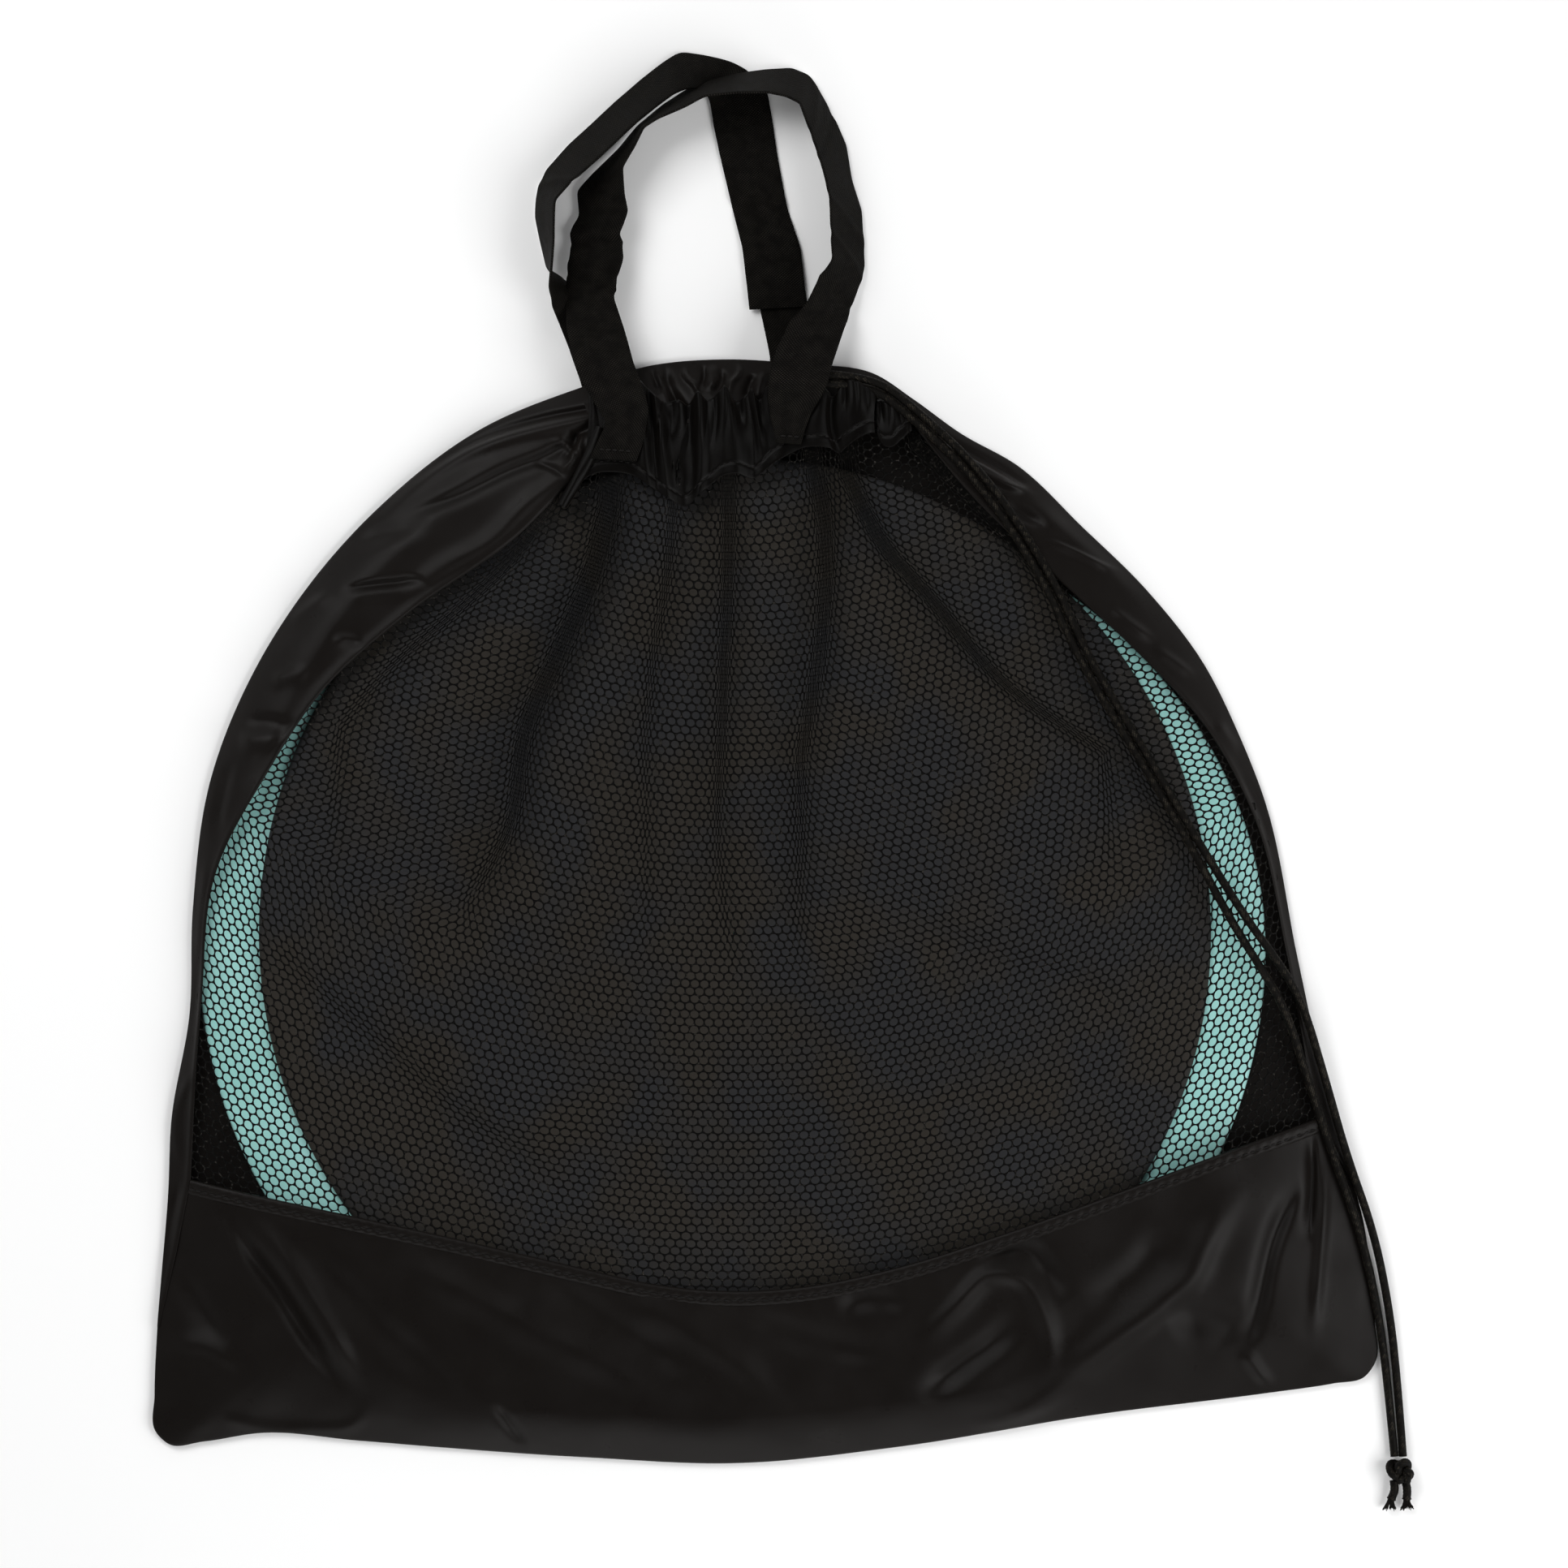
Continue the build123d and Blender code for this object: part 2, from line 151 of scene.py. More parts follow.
BACK_CASING_FOLDS = [
    (-3, 2, 2.6, [(-37, 154), (-41.5, 161), (-45.5, 171), (-46, 177)], "open"),
    (1.6, 1, 1.2, [(-37, 176.5), (-36.3, 171), (-32, 166), (-30, 160)]),
    (1.5, 1.1, 1.1, [(-13.2, 178), (-12.4, 172), (-16, 167), (-17, 161)]),
    (1.4, 3, 2.4, [(-58, 176), (-50, 173), (-44, 165), (-42, 156)]),
    (-1.4, 1.6, 2, [(-21, 175), (-20, 169), (-24, 161)]),
    (-1.5, 2, 2, [(-5, 172), (-8, 166), (-9, 158)]),
    (1.3, 2, 2, [(0, 174), (-3, 167), (-4, 158)]),
    (-1.3, 1.4, 1.4, [(-29, 177), (-28, 171), (-30, 163)]),
    (1.2, 2.2, 2.2, [(-25, 177), (-24, 171), (-25, 163)]),
    (-1.4, 1.4, 1.6, [(-52, 176), (-50, 170), (-47, 162)]),
    (1.3, 2, 2.6, [(36, 172), (44, 166), (52, 158), (60, 152)]),
    (-1.2, 1.6, 2, [(50, 168), (56, 162), (62, 156)]),
]
TEAL_FOLDS = [
    (-0.8, 1.6, 2.2, [(-229, 20), (-226, -20), (-229, -70), (-222, -120), (-208, -165), (-188, -205)]),
    (0.7, 2.2, 1.4, [(-222, 10), (-219, -30), (-221, -75), (-214, -122), (-200, -168), (-182, -208)]),
    (0.5, 2, 2, [(-240, -60), (-240, -100), (-232, -140), (-220, -170)]),
    (-0.5, 2, 2, [(-236, -30), (-236, -90), (-228, -132)]),
    (-0.7, 1.6, 2, [(180, 40), (196, 10), (204, -30), (205, -80), (200, -120), (190, -160)]),
    (0.6, 2, 1.6, [(190, 34), (206, 0), (213, -45), (212, -95), (205, -135)]),
]

FOLD_RELIEF = 1.55

# ---------------------------------------------------------------- shared helpers


def smooth_line(points, count, closed=False):
    """Points spaced evenly along a smooth curve through the given ones."""
    knots = np.asarray(points, float)
    size = len(knots)
    if closed:
        knots = np.vstack([knots[-2:], knots, knots[:3]])
    chord = np.linalg.norm(np.diff(knots[:, :3], axis=0), axis=1)
    place = np.concatenate([[0.0], np.cumsum(chord)])
    slope = np.gradient(knots, place, axis=0)
    first, last = (place[2], place[size + 2]) if closed else (place[0], place[-1])
    at = np.linspace(first, last, 40 * size)
    k = np.clip(np.searchsorted(place, at, side="right") - 1, 0, len(place) - 2)
    step = (place[k + 1] - place[k])[:, None]
    t = (at - place[k])[:, None] / step
    fine = (
        (2 * t**3 - 3 * t**2 + 1) * knots[k]
        + (t**3 - 2 * t**2 + t) * step * slope[k]
        + (3 * t**2 - 2 * t**3) * knots[k + 1]
        + (t**3 - t**2) * step * slope[k + 1]
    )
    run = np.concatenate([[0.0], np.cumsum(np.linalg.norm(np.diff(fine[:, :3], axis=0), axis=1))])
    even = np.linspace(0, run[-1], count)
    return np.column_stack([np.interp(even, run, column) for column in fine.T])


def ease(t):
    """0 to 1 with no slope at either end."""
    t = np.clip(t, 0, 1)
    return t * t * (3 - 2 * t)


CHUNK = 20000  # points measured at a time


def line_offset(x, y, line):
    """Signed distance of plan points to a line, positive on its left, and their share along it."""
    start, run = line[:-1], np.diff(line, axis=0)
    square = np.maximum((run**2).sum(axis=1), 1e-9)
    flat_x, flat_y = np.ravel(x), np.ravel(y)
    distance, along = np.empty(len(flat_x)), np.empty(len(flat_x))
    for first in range(0, len(flat_x), CHUNK):
        rows = slice(first, first + CHUNK)
        px = flat_x[rows, None] - start[:, 0]
        py = flat_y[rows, None] - start[:, 1]
        share = np.clip((px * run[:, 0] + py * run[:, 1]) / square, 0, 1)
        gap = np.hypot(px - share * run[:, 0], py - share * run[:, 1])
        near = gap.argmin(axis=1)
        pick = np.arange(len(near))
        side = run[near, 0] * py[pick, near] - run[near, 1] * px[pick, near]
        distance[rows] = gap[pick, near] * np.where(side >= 0, 1, -1)
        along[rows] = (near + share[pick, near]) / len(run)
    return distance.reshape(np.shape(x)), along.reshape(np.shape(x))


def fold_height(x, y, folds):
    """Summed height of the listed folds at plan points."""
    total = np.zeros(np.shape(x))
    for height, left, right, points, *first_end in folds:
        offset, along = line_offset(x, y, smooth_line(points, 36))
        width = np.where(offset > 0, left, right)
        fade = ease((1 - along) / 0.35)
        if not first_end:
            fade = fade * ease(along / 0.3)
        total += FOLD_RELIEF * height * np.exp(-((offset / width) ** 2)) * fade
    return total


def ripple(x, y, size):
    """Soft irregular waves between -1 and 1, of about the given size."""
    a, b = x / size, y / size
    return (
        np.sin(2.1 * a + 1.3 * b + 0.7) + np.sin(-1.4 * a + 2.3 * b + 2.1)
        + np.sin(3.1 * a - 0.9 * b + 4.0) * 0.7 + np.sin(0.8 * a + 3.7 * b + 1.2) * 0.6
    ) / 3.3


outline = smooth_line(OUTLINE, 2400, closed=True)[:-1]
OUTLINE_ANGLES = np.arctan2(outline[:, 1] - CENTRE[1], outline[:, 0] - CENTRE[0])
OUTLINE_RADII = np.hypot(outline[:, 0] - CENTRE[0], outline[:, 1] - CENTRE[1])


def front_height(x, y):
    """Height of the bag's smooth front surface over plan points."""
    dx, dy = x - CENTRE[0], y - CENTRE[1]
    edge = np.interp(np.arctan2(dy, dx), OUTLINE_ANGLES, OUTLINE_RADII, period=2 * math.pi)
    flat = np.minimum(edge - SIDE_SLOPE, FLAT_RADIUS)
    share = np.clip((edge - np.hypot(dx, dy)) / (edge - flat), 0, 1)
    return EDGE_Z + (FRONT_Z - EDGE_Z) * (1 - (1 - share) ** FRONT_ROUNDING)


def make_mesh(name, points, faces, uv=None, attributes=None):
    """A smooth-shaded object from millimetre points."""
    mesh = bpy.data.meshes.new(name)
    faces = faces.tolist() if isinstance(faces, np.ndarray) else faces
    mesh.from_pydata((np.asarray(points, float) * MM).tolist(), [], faces)
    mesh.polygons.foreach_set("use_smooth", np.ones(len(mesh.polygons), bool))
    if uv is not None:
        corners = np.empty(len(mesh.loops), np.int32)
        mesh.loops.foreach_get("vertex_index", corners)
        layer = mesh.uv_layers.new(name="UVMap")
        layer.data.foreach_set("uv", np.asarray(uv, np.float32)[corners].ravel())
    for key, values in (attributes or {}).items():
        layer = mesh.attributes.new(key, "FLOAT", "POINT")
        layer.data.foreach_set("value", np.asarray(values, np.float32))
    mesh.update()
    piece = bpy.data.objects.new(name, mesh)
    bpy.context.scene.collection.objects.link(piece)
    return piece


def grid_faces(rows, columns, wrap=False):
    """Quads of a row-major grid, with its last column joined to its first if wrap is set."""
    i, j = np.meshgrid(np.arange(rows - 1), np.arange(columns if wrap else columns - 1), indexing="ij")
    nxt = (j + 1) % columns
    quads = [i * columns + j, i * columns + nxt, (i + 1) * columns + nxt, (i + 1) * columns + j]
    return np.stack(quads, axis=-1).reshape(-1, 4)


def tube_faces(count, around, flip=False):
    """Faces of a closed tube of rings, with its two end caps."""
    first, last = list(range(around)), [(count - 1) * around + k for k in range(around)]
    caps = [first, last[::-1]] if flip else [first[::-1], last]
    return grid_faces(count, around, wrap=True).tolist() + caps


def grid_mesh(name, x, y, z, flip=False, **extra):
    """A sheet from three equal grids."""
    faces = grid_faces(*x.shape)
    if flip:
        faces = faces[:, ::-1]
    return make_mesh(name, np.column_stack([x.ravel(), y.ravel(), z.ravel()]), faces, **extra)


def outline_part(start, end, count):
    """Outline points from the one nearest start, anticlockwise, to the one nearest end."""
    first = np.hypot(*(outline - start).T).argmin()
    last = np.hypot(*(outline - end).T).argmin()
    if last <= first:
        last += len(outline)
    part = outline[np.arange(first, last + 1) % len(outline)]
    if len(part) < 60:
        return smooth_line(part, count)
    return part[np.linspace(0, len(part) - 1, count).astype(int)]


# ---------------------------------------------------------------- materials


class Tree:
    """Short ways to add nodes to one node tree."""

    def __init__(self, tree):
        self.nodes, self.links = tree.nodes, tree.links

    def place(self, kind="Object"):
        """Texture coordinates."""
        return self.nodes.new("ShaderNodeTexCoord").outputs[kind]

    def axes(self, coordinate):
        """The X, Y and Z of a coordinate."""
        node = self.nodes.new("ShaderNodeSeparateXYZ")
        self.links.new(coordinate, node.inputs["Vector"])
        return node.outputs

    def noise(self, coordinate, scale, detail):
        """A noise texture on the given coordinates."""
        node = self.nodes.new("ShaderNodeTexNoise")
        node.inputs["Scale"].default_value = scale
        node.inputs["Detail"].default_value = detail
        self.links.new(coordinate, node.inputs["Vector"])
        return node.outputs["Fac"]

    def math(self, operation, a, b=0.0):
        """One math node on sockets or numbers."""
        node = self.nodes.new("ShaderNodeMath")
        node.operation = operation
        for socket, value in zip(node.inputs, (a, b)):
            if isinstance(value, (int, float)):
                socket.default_value = value
            else:
                self.links.new(value, socket)
        return node.outputs["Value"]

    def mix(self, factor, first, second, target):
        """Link a colour between two, by a factor, to a socket."""
        node = self.nodes.new("ShaderNodeMix")
        node.data_type = "RGBA"
        self.links.new(factor, node.inputs["Factor"])
        node.inputs["A"].default_value = (*first, 1)
        node.inputs["B"].default_value = (*second, 1)
        self.links.new(node.outputs["Result"], target)

    def span(self, value, low, high, to_low, to_high):
        """Map a value from one range to another."""
        node = self.nodes.new("ShaderNodeMapRange")
        self.links.new(value, node.inputs["Value"])
        for key, number in zip(("From Min", "From Max", "To Min", "To Max"), (low, high, to_low, to_high)):
            node.inputs[key].default_value = number
        return node.outputs["Result"]

    def bump(self, shader, height, distance, strength, before=None):
        """A bump of the given depth in metres, on top of an earlier one."""
        node = self.nodes.new("ShaderNodeBump")
        node.inputs["Distance"].default_value = distance
        node.inputs["Strength"].default_value = strength
        self.links.new(height, node.inputs["Height"])
        if before is not None:
            self.links.new(before, node.inputs["Normal"])
        self.links.new(node.outputs["Normal"], shader.inputs["Normal"])
        return node.outputs["Normal"]


def new_material(name, colour, roughness, specular, sheen=0.0, sheen_tint=(1, 1, 1)):
    """A Principled material with constant values set on its sockets, its node tree and its shader."""
    material = bpy.data.materials.new(name)
    material.use_nodes = True
    shader = material.node_tree.nodes["Principled BSDF"]
    shader.inputs["Base Color"].default_value = (*colour, 1)
    shader.inputs["Roughness"].default_value = roughness
    shader.inputs["Specular IOR Level"].default_value = specular
    shader.inputs["Sheen Weight"].default_value = sheen
    shader.inputs["Sheen Roughness"].default_value = 0.45
    shader.inputs["Sheen Tint"].default_value = (*sheen_tint, 1)
    return material, Tree(material.node_tree), shader


THREADS = 12500.0


def satin(name, dark, light, roughness, specular, sheen, sheen_tint):
    """Thin filament satin: soft colour variation, small crinkles and a fine crosswise weave."""
    material, tree, shader = new_material(name, dark, roughness, specular, sheen, sheen_tint)
    place = tree.place()
    tree.mix(tree.noise(place, 26, 4), dark, light, shader.inputs["Base Color"])
    gloss = tree.span(tree.noise(place, 60, 5), 0.3, 0.7, roughness - 0.05, roughness + 0.07)
    tree.links.new(gloss, shader.inputs["Roughness"])
    waves = tree.bump(shader, tree.noise(place, 45, 2), 0.0005, 0.8)
    axes = tree.axes(place)
    warp = tree.math("SINE", tree.math("MULTIPLY", axes["X"], THREADS))
    weft = tree.math("SINE", tree.math("MULTIPLY", axes["Y"], THREADS))
    tree.bump(shader, tree.math("MULTIPLY", warp, weft), 0.00004, 0.5, waves)
    return material


def webbing():
    """Polyester webbing with a diamond weave along and across its own UV millimetres; its knuckles are
    painted lighter, as a painted highlight.
    """
    dark, light = (0.0018, 0.0016, 0.0014), (0.0300, 0.0270, 0.0225)
    material, tree, shader = new_material("webbing", dark, 0.66, 0.035)
    place = tree.place("UV")
    axes = tree.axes(place)
    along = tree.math("MULTIPLY", axes["Y"], math.pi / 1.15)
    across = tree.math("MULTIPLY", axes["X"], math.pi / 1.35)
    one = tree.math("COSINE", tree.math("ADD", along, across))
    two = tree.math("COSINE", tree.math("SUBTRACT", along, across))
    cross = tree.math("MULTIPLY", one, two)
    knuckles = tree.math("MULTIPLY", cross, cross)
    wear = tree.noise(place, 0.16, 3)
    # Painted highlight: the weave's knuckles are lighter in colour, more so in some patches.
    knuckle_highlight = tree.math("MULTIPLY", knuckles, tree.span(wear, 0.35, 0.65, 0.35, 1.0))
    tree.mix(knuckle_highlight, dark, light, shader.inputs["Base Color"])
    tree.links.new(tree.span(wear, 0.3, 0.7, 0.55, 0.70), shader.inputs["Roughness"])
    soft = tree.bump(shader, tree.noise(place, 0.09, 2), 0.0008, 0.7)
    tree.bump(shader, knuckles, 0.00040, 1.0, soft)
    return material


def braided(name, dark, light):
    """Braided cord yarn, painted lighter where the carriers rise, as a painted highlight; the highlight
    attribute comes with the mesh.
    """
    material, tree, shader = new_material(name, dark, 0.6, 0.07)
    rise = tree.nodes.new("ShaderNodeAttribute")
    rise.attribute_name = "braid_highlight"
    tree.mix(rise.outputs["Fac"], dark, light, shader.inputs["Base Color"])
    tree.bump(shader, tree.noise(tree.place(), 2600, 2), 0.0001, 0.6)
    return material


def net_yarn():
    """Knitted nylon net: dark filament with small light specks painted on as glints, a painted highlight."""
    dark, light = (0.0017, 0.0016, 0.0014), (0.0300, 0.0275, 0.0240)
    material, tree, shader = new_material("net_yarn", dark, 0.55, 0.06)
    place = tree.place()
    # Painted highlight: scattered light specks on the dark yarn.
    glint_specks = tree.span(tree.noise(place, 900, 2), 0.56, 0.72, 0.0, 1.0)
    tree.mix(glint_specks, dark, light, shader.inputs["Base Color"])
    tree.bump(shader, tree.noise(place, 3200, 1), 0.00012, 0.7)
    return material


def fine_weave():
    """Thin black cloth whose fine weave gives faint warm and cool patches."""
    warm, cool = (0.0352, 0.0308, 0.0256), (0.0292, 0.0295, 0.0316)
    material, tree, shader = new_material("fine_weave", warm, 0.6, 0.12, 0.02, (1.0, 0.93, 0.86))
    place = tree.place()
    patch = tree.span(tree.noise(place, 22, 4), 0.42, 0.58, 0.0, 1.0)
    tree.mix(patch, warm, cool, shader.inputs["Base Color"])
    soft = tree.bump(shader, tree.noise(place, 20, 2), 0.0012, 0.8)
    tree.bump(shader, tree.noise(place, 1800, 2), 0.00008, 0.6, soft)
    return material


WARM_SHEEN = (1.0, 0.88, 0.80)
MATERIALS = {
    "satin": satin(
        "black_satin", (0.0051, 0.0041, 0.0036), (0.0070, 0.0058, 0.0051), 0.31, 0.085, 0.02, WARM_SHEEN
    ),
    # Painted shade: the casing's satin is the panels' cloth made several times darker, standing for the shade
    # deep in its pleats.
    "gathered": satin(
        "gathered_satin_painted_shade", (0.0011, 0.0009, 0.0008), (0.0022, 0.0018, 0.0015), 0.3, 0.065, 0.02, WARM_SHEEN
    ),
    "teal": satin("teal_satin", (0.33, 0.72, 0.67), (0.50, 0.88, 0.85), 0.36, 0.40, 0.1, (0.85, 1.0, 0.97)),
    "webbing": webbing(),
    "net": net_yarn(),
    "disc": fine_weave(),
    "cord": braided("cord_yarn", (0.0018, 0.0015, 0.0012), (0.046, 0.039, 0.029)),
    "thread": satin(
        "thread", (0.0035, 0.0030, 0.0028), (0.0075, 0.0066, 0.0060), 0.5, 0.12, 0.02, WARM_SHEEN
    ),
}


def finish_piece(piece, material="satin", body="bag", replaces=()):
    """Material, slot, body and the CAD nodes that the piece stands for."""
    piece.data.materials.append(MATERIALS[material])
    if body:
        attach(piece, body)
    if replaces:
        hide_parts(*replaces)
    return piece


# ---------------------------------------------------------------- camera, light and floor
VIEW_WIDTH = 0.6994  # what the picture spans at the height of VIEW_PLANE
VIEW_PLANE = 0.006
CAMERA_HEIGHT = 2.2
SENSOR_WIDTH = 36.0
camera_data = bpy.data.cameras.new("camera")
camera_data.sensor_width = SENSOR_WIDTH
camera_data.lens = SENSOR_WIDTH * (CAMERA_HEIGHT - VIEW_PLANE) / VIEW_WIDTH
camera = bpy.data.objects.new("camera", camera_data)
camera.location = (0.0076, -0.0112, CAMERA_HEIGHT)
bpy.context.scene.collection.objects.link(camera)
bpy.context.scene.camera = camera
bpy.context.scene.view_settings.view_transform = "Standard"


def soft_light(name, location, target, size, power, colour=(1, 1, 1)):
    """A square softbox that faces the target."""
    data = bpy.data.lights.new(name, "AREA")
    data.size = size
    data.energy = power
    data.color = colour
    light = bpy.data.objects.new(name, data)
    light.location = location
    light.rotation_euler = (Vector(target) - Vector(location)).to_track_quat("-Z", "Y").to_euler()
    bpy.context.scene.collection.objects.link(light)


soft_light("key", (-0.75, 0.85, 1.25), (0, -0.05, 0), 0.9, 16.0)
soft_light("fill", (1.15, -0.55, 0.95), (0, -0.05, 0), 1.1, 17.0)
soft_light("low", (-0.15, -1.45, 0.55), (0, -0.1, 0), 0.9, 5.5)

world = bpy.data.worlds.new("studio")
world.use_nodes = True
world_tree = Tree(world.node_tree)
direction = world_tree.axes(world_tree.place("Generated"))
background = world.node_tree.nodes["Background"]
background.inputs["Color"].default_value = (1, 1, 1, 1)
world_tree.links.new(world_tree.span(direction["Z"], 0.0, 0.95, 0.85, 0.10), background.inputs["Strength"])
bpy.context.scene.world = world

FLOOR_HALF = 3000.0
floor_corners = [(x * FLOOR_HALF, y * FLOOR_HALF, 0) for x, y in ((-1, -1), (1, -1), (1, 1), (-1, 1))]
floor = make_mesh("studio_floor", floor_corners, [(0, 1, 2, 3)])
floor.data.materials.append(new_material("paper", (0.93, 0.93, 0.93), 0.9, 0.1)[0])

# ---------------------------------------------------------------- drawcord
CORD_DIAMETER = 0.0035
STRANDS = {
    "drawcord_strand_a": [
        (0.014, 0.171, 0.0176), (0.045, 0.171, 0.0174), (0.066, 0.1555, 0.0164), (0.0966, 0.1268, 0.0163),
        (0.1255, 0.0835, 0.0164), (0.1425, 0.045, 0.0163), (0.1705, -0.001, 0.0164), (0.191, -0.036, 0.0165),
        (0.212, -0.07, 0.0174), (0.226, -0.0885, 0.0146), (0.238, -0.107, 0.0102), (0.249, -0.143, 0.0068),
        (0.2585, -0.177, 0.0062), (0.2705, -0.21, 0.005), (0.2775, -0.243, 0.0034), (0.2815, -0.276, 0.0023),
        (0.284, -0.3115, 0.0032),
    ],
    "drawcord_strand_b": [
        (0.014, 0.1671, 0.0176), (0.044, 0.1671, 0.0174), (0.0634, 0.1526, 0.0164), (0.0933, 0.1244, 0.0163),
        (0.122, 0.0816, 0.0164), (0.139, 0.043, 0.0163), (0.1673, -0.003, 0.0164), (0.1873, -0.037, 0.0165),
        (0.2065, -0.073, 0.0175), (0.2195, -0.093, 0.0159), (0.231, -0.112, 0.0122), (0.242, -0.146, 0.0078),
        (0.2535, -0.18, 0.0072), (0.2654, -0.213, 0.0062), (0.2728, -0.246, 0.0042), (0.2772, -0.278, 0.0025),
        (0.2803, -0.3115, 0.0032),
    ],
}
BRAID_STEP = 1.7
CARRIERS = 4


def spline_points(name, points):
    """Points along the smooth NURBS line of a route, in millimetres."""
    data = bpy.data.curves.new(name, "CURVE")
    data.dimensions = "3D"
    spline = data.splines.new("NURBS")
    spline.points.add(len(points) - 1)
    for target, point in zip(spline.points, points):
        target.co = (*point, 1)
    spline.order_u = 3
    spline.use_endpoint_u = True
    spline.resolution_u = 24
    helper = bpy.data.objects.new(name, data)
    bpy.context.scene.collection.objects.link(helper)
    bpy.context.view_layer.update()
    mesh = bpy.data.meshes.new_from_object(helper)
    line = np.array([vertex.co for vertex in mesh.vertices]) / MM
    bpy.data.objects.remove(helper)
    bpy.data.meshes.remove(mesh)
    return line


def tube_frames(line):
    """Two directions across a line at each point, carried along it without twist."""
    along = np.gradient(line, axis=0)
    along /= np.linalg.norm(along, axis=1)[:, None]
    side = np.cross(along[0], (0.0, 0.0, 1.0) if abs(along[0][2]) < 0.9 else (1.0, 0.0, 0.0))
    sides = []
    for heading in along:
        side = side - heading * side.dot(heading)
        side /= np.linalg.norm(side)
        sides.append(side)
    sides = np.array(sides)
    return sides, np.cross(along, sides)


def braid_tube(name, line, radius, around=20, step=0.34, ends=(1.0, 1.0)):
    """A braided cord: raised diamonds where its carriers cross, with an attribute that paints a highlight on
    their crests.
    """
    length = np.linalg.norm(np.diff(line, axis=0), axis=1).sum()
    count = max(int(length / step), 8)
    line = smooth_line(line, count)
    side, up = tube_frames(line)
    place = np.linspace(0, length, count)[:, None]
    angle = np.linspace(0, 2 * math.pi, around, endpoint=False)[None, :]
    right = CARRIERS * angle + place * math.pi / BRAID_STEP
    left = CARRIERS * angle - place * math.pi / BRAID_STEP
    rise = np.abs(np.cos(right) * np.cos(left)) ** 0.7
    diamond = np.floor(right / math.pi) * 12.9898 + np.floor(left / math.pi) * 78.233
    chance = np.modf(np.abs(np.sin(diamond) * 43758.5))[0]
    taper = np.interp(place, [0, length * 0.12, length * 0.88, length], [ends[0], 1, 1, ends[1]])
    size = radius * (0.84 + 0.26 * rise) * taper
    points = line[:, None, :] + size[..., None] * (
        np.cos(angle)[..., None] * side[:, None, :] + np.sin(angle)[..., None] * up[:, None, :]
    )
    # Painted highlight: strongest on the crests, faint on most diamonds and full on a random three in ten.
    braid_highlight = rise**3 * (0.10 + 0.90 * (chance > 0.70))
    faces = tube_faces(count, around)
    return make_mesh(name, points.reshape(-1, 3), faces, attributes={"braid_highlight": braid_highlight.ravel()})


def join_pieces(name, pieces):
    """One object from several."""
    bpy.ops.object.select_all(action="DESELECT")
    for piece in pieces:
        piece.select_set(True)
    bpy.context.view_layer.objects.active = pieces[0]
    bpy.ops.object.join()
    pieces[0].name = name
    return pieces[0]


FRAY_LENGTH = 5.5
FRAY_YARNS = 30


def frayed_tail(name, start, end, seed):
    """A short braided end that opens into loose yarn."""
    start, end = np.array(start), np.array(end)
    along = (end - start) / np.linalg.norm(end - start)
    core_end = end - along * FRAY_LENGTH
    middle = (start + core_end) / 2 + np.array([0.4 * seed, 0, 0.5])
    parts = [braid_tube(f"{name}_core", smooth_line([start, middle, core_end], 12), 1.8, ends=(1.0, 1.15))]
    side = np.cross(along, (0, 0, 1.0))
    random = np.random.default_rng(seed + 7)
    for k in range(FRAY_YARNS):
        turn = 2 * math.pi * k / FRAY_YARNS + random.uniform(-0.2, 0.2)
        spread = random.uniform(0.5, 1.0)
        out = side * math.cos(turn) + np.array([0, 0, 0.75]) * math.sin(turn)
        root = core_end - along * 1.2 + out * 1.0
        mid = core_end + along * random.uniform(1.6, 2.8) + out * (1.1 + 0.6 * spread)
        tip = core_end + along * random.uniform(3.2, FRAY_LENGTH) + out * (1.2 + 2.1 * spread)
        tip[2] = max(tip[2], 0.5)
        yarn = smooth_line([root, mid, tip], 8)
        parts.append(braid_tube(f"{name}_yarn", yarn, 0.26, around=6, step=0.7, ends=(1, 0.4)))
    return join_pieces(name, parts)


KNOT_CENTRE = np.array([282.4, -318.0, 5.6])


def knot_line(size, turn, shift):
    """The centreline of one cord in an overhand knot."""
    t = np.linspace(-2.75, 2.75, 60)
    x = size[0] * (np.sin(t) + 2 * np.sin(2 * t)) / 2.7
    y = size[1] * (np.cos(t) - 2 * np.cos(2 * t)) / 3.0
    z = -size[2] * np.sin(3 * t)
    spin = np.array([[math.cos(turn), -math.sin(turn)], [math.sin(turn), math.cos(turn)]])
    plan = np.column_stack([x, y]) @ spin.T
    return np.column_stack([plan, z]) + KNOT_CENTRE + shift


knot = join_pieces(
    "drawcord_overhand_knot",
    [
        braid_tube("knot_one", knot_line((4.2, 5.8, 3.2), 0.25, (0, 0, 0)), 1.75),
        braid_tube("knot_two", knot_line((3.2, 4.2, 2.6), -0.9, (0.6, -0.6, 0.6)), 1.75),
    ],
)
finish_piece(knot, "cord", "drawcord", ["drawcord_knot"])
tails = {
    "drawcord_tail_a": frayed_tail("drawcord_frayed_end_a", (285.0, -322.0, 4.4), (286.0, -336.0, 3.4), 1),
    "drawcord_tail_b": frayed_tail("drawcord_frayed_end_b", (279.8, -322.0, 4.4), (278.0, -336.0, 3.4), 2),
}
for node, piece in tails.items():
    finish_piece(piece, "cord", "drawcord", [node])
cord_lines = {}
for (node, route), tail in zip(STRANDS.items(), tails.values()):
    line = spline_points(node, route)
    cord_lines[node] = line
    strand = braid_tube(node.replace("drawcord", "braided"), line, CORD_DIAMETER / MM / 2)
    finish_piece(strand, "cord", "drawcord", [node])

# ---------------------------------------------------------------- contents


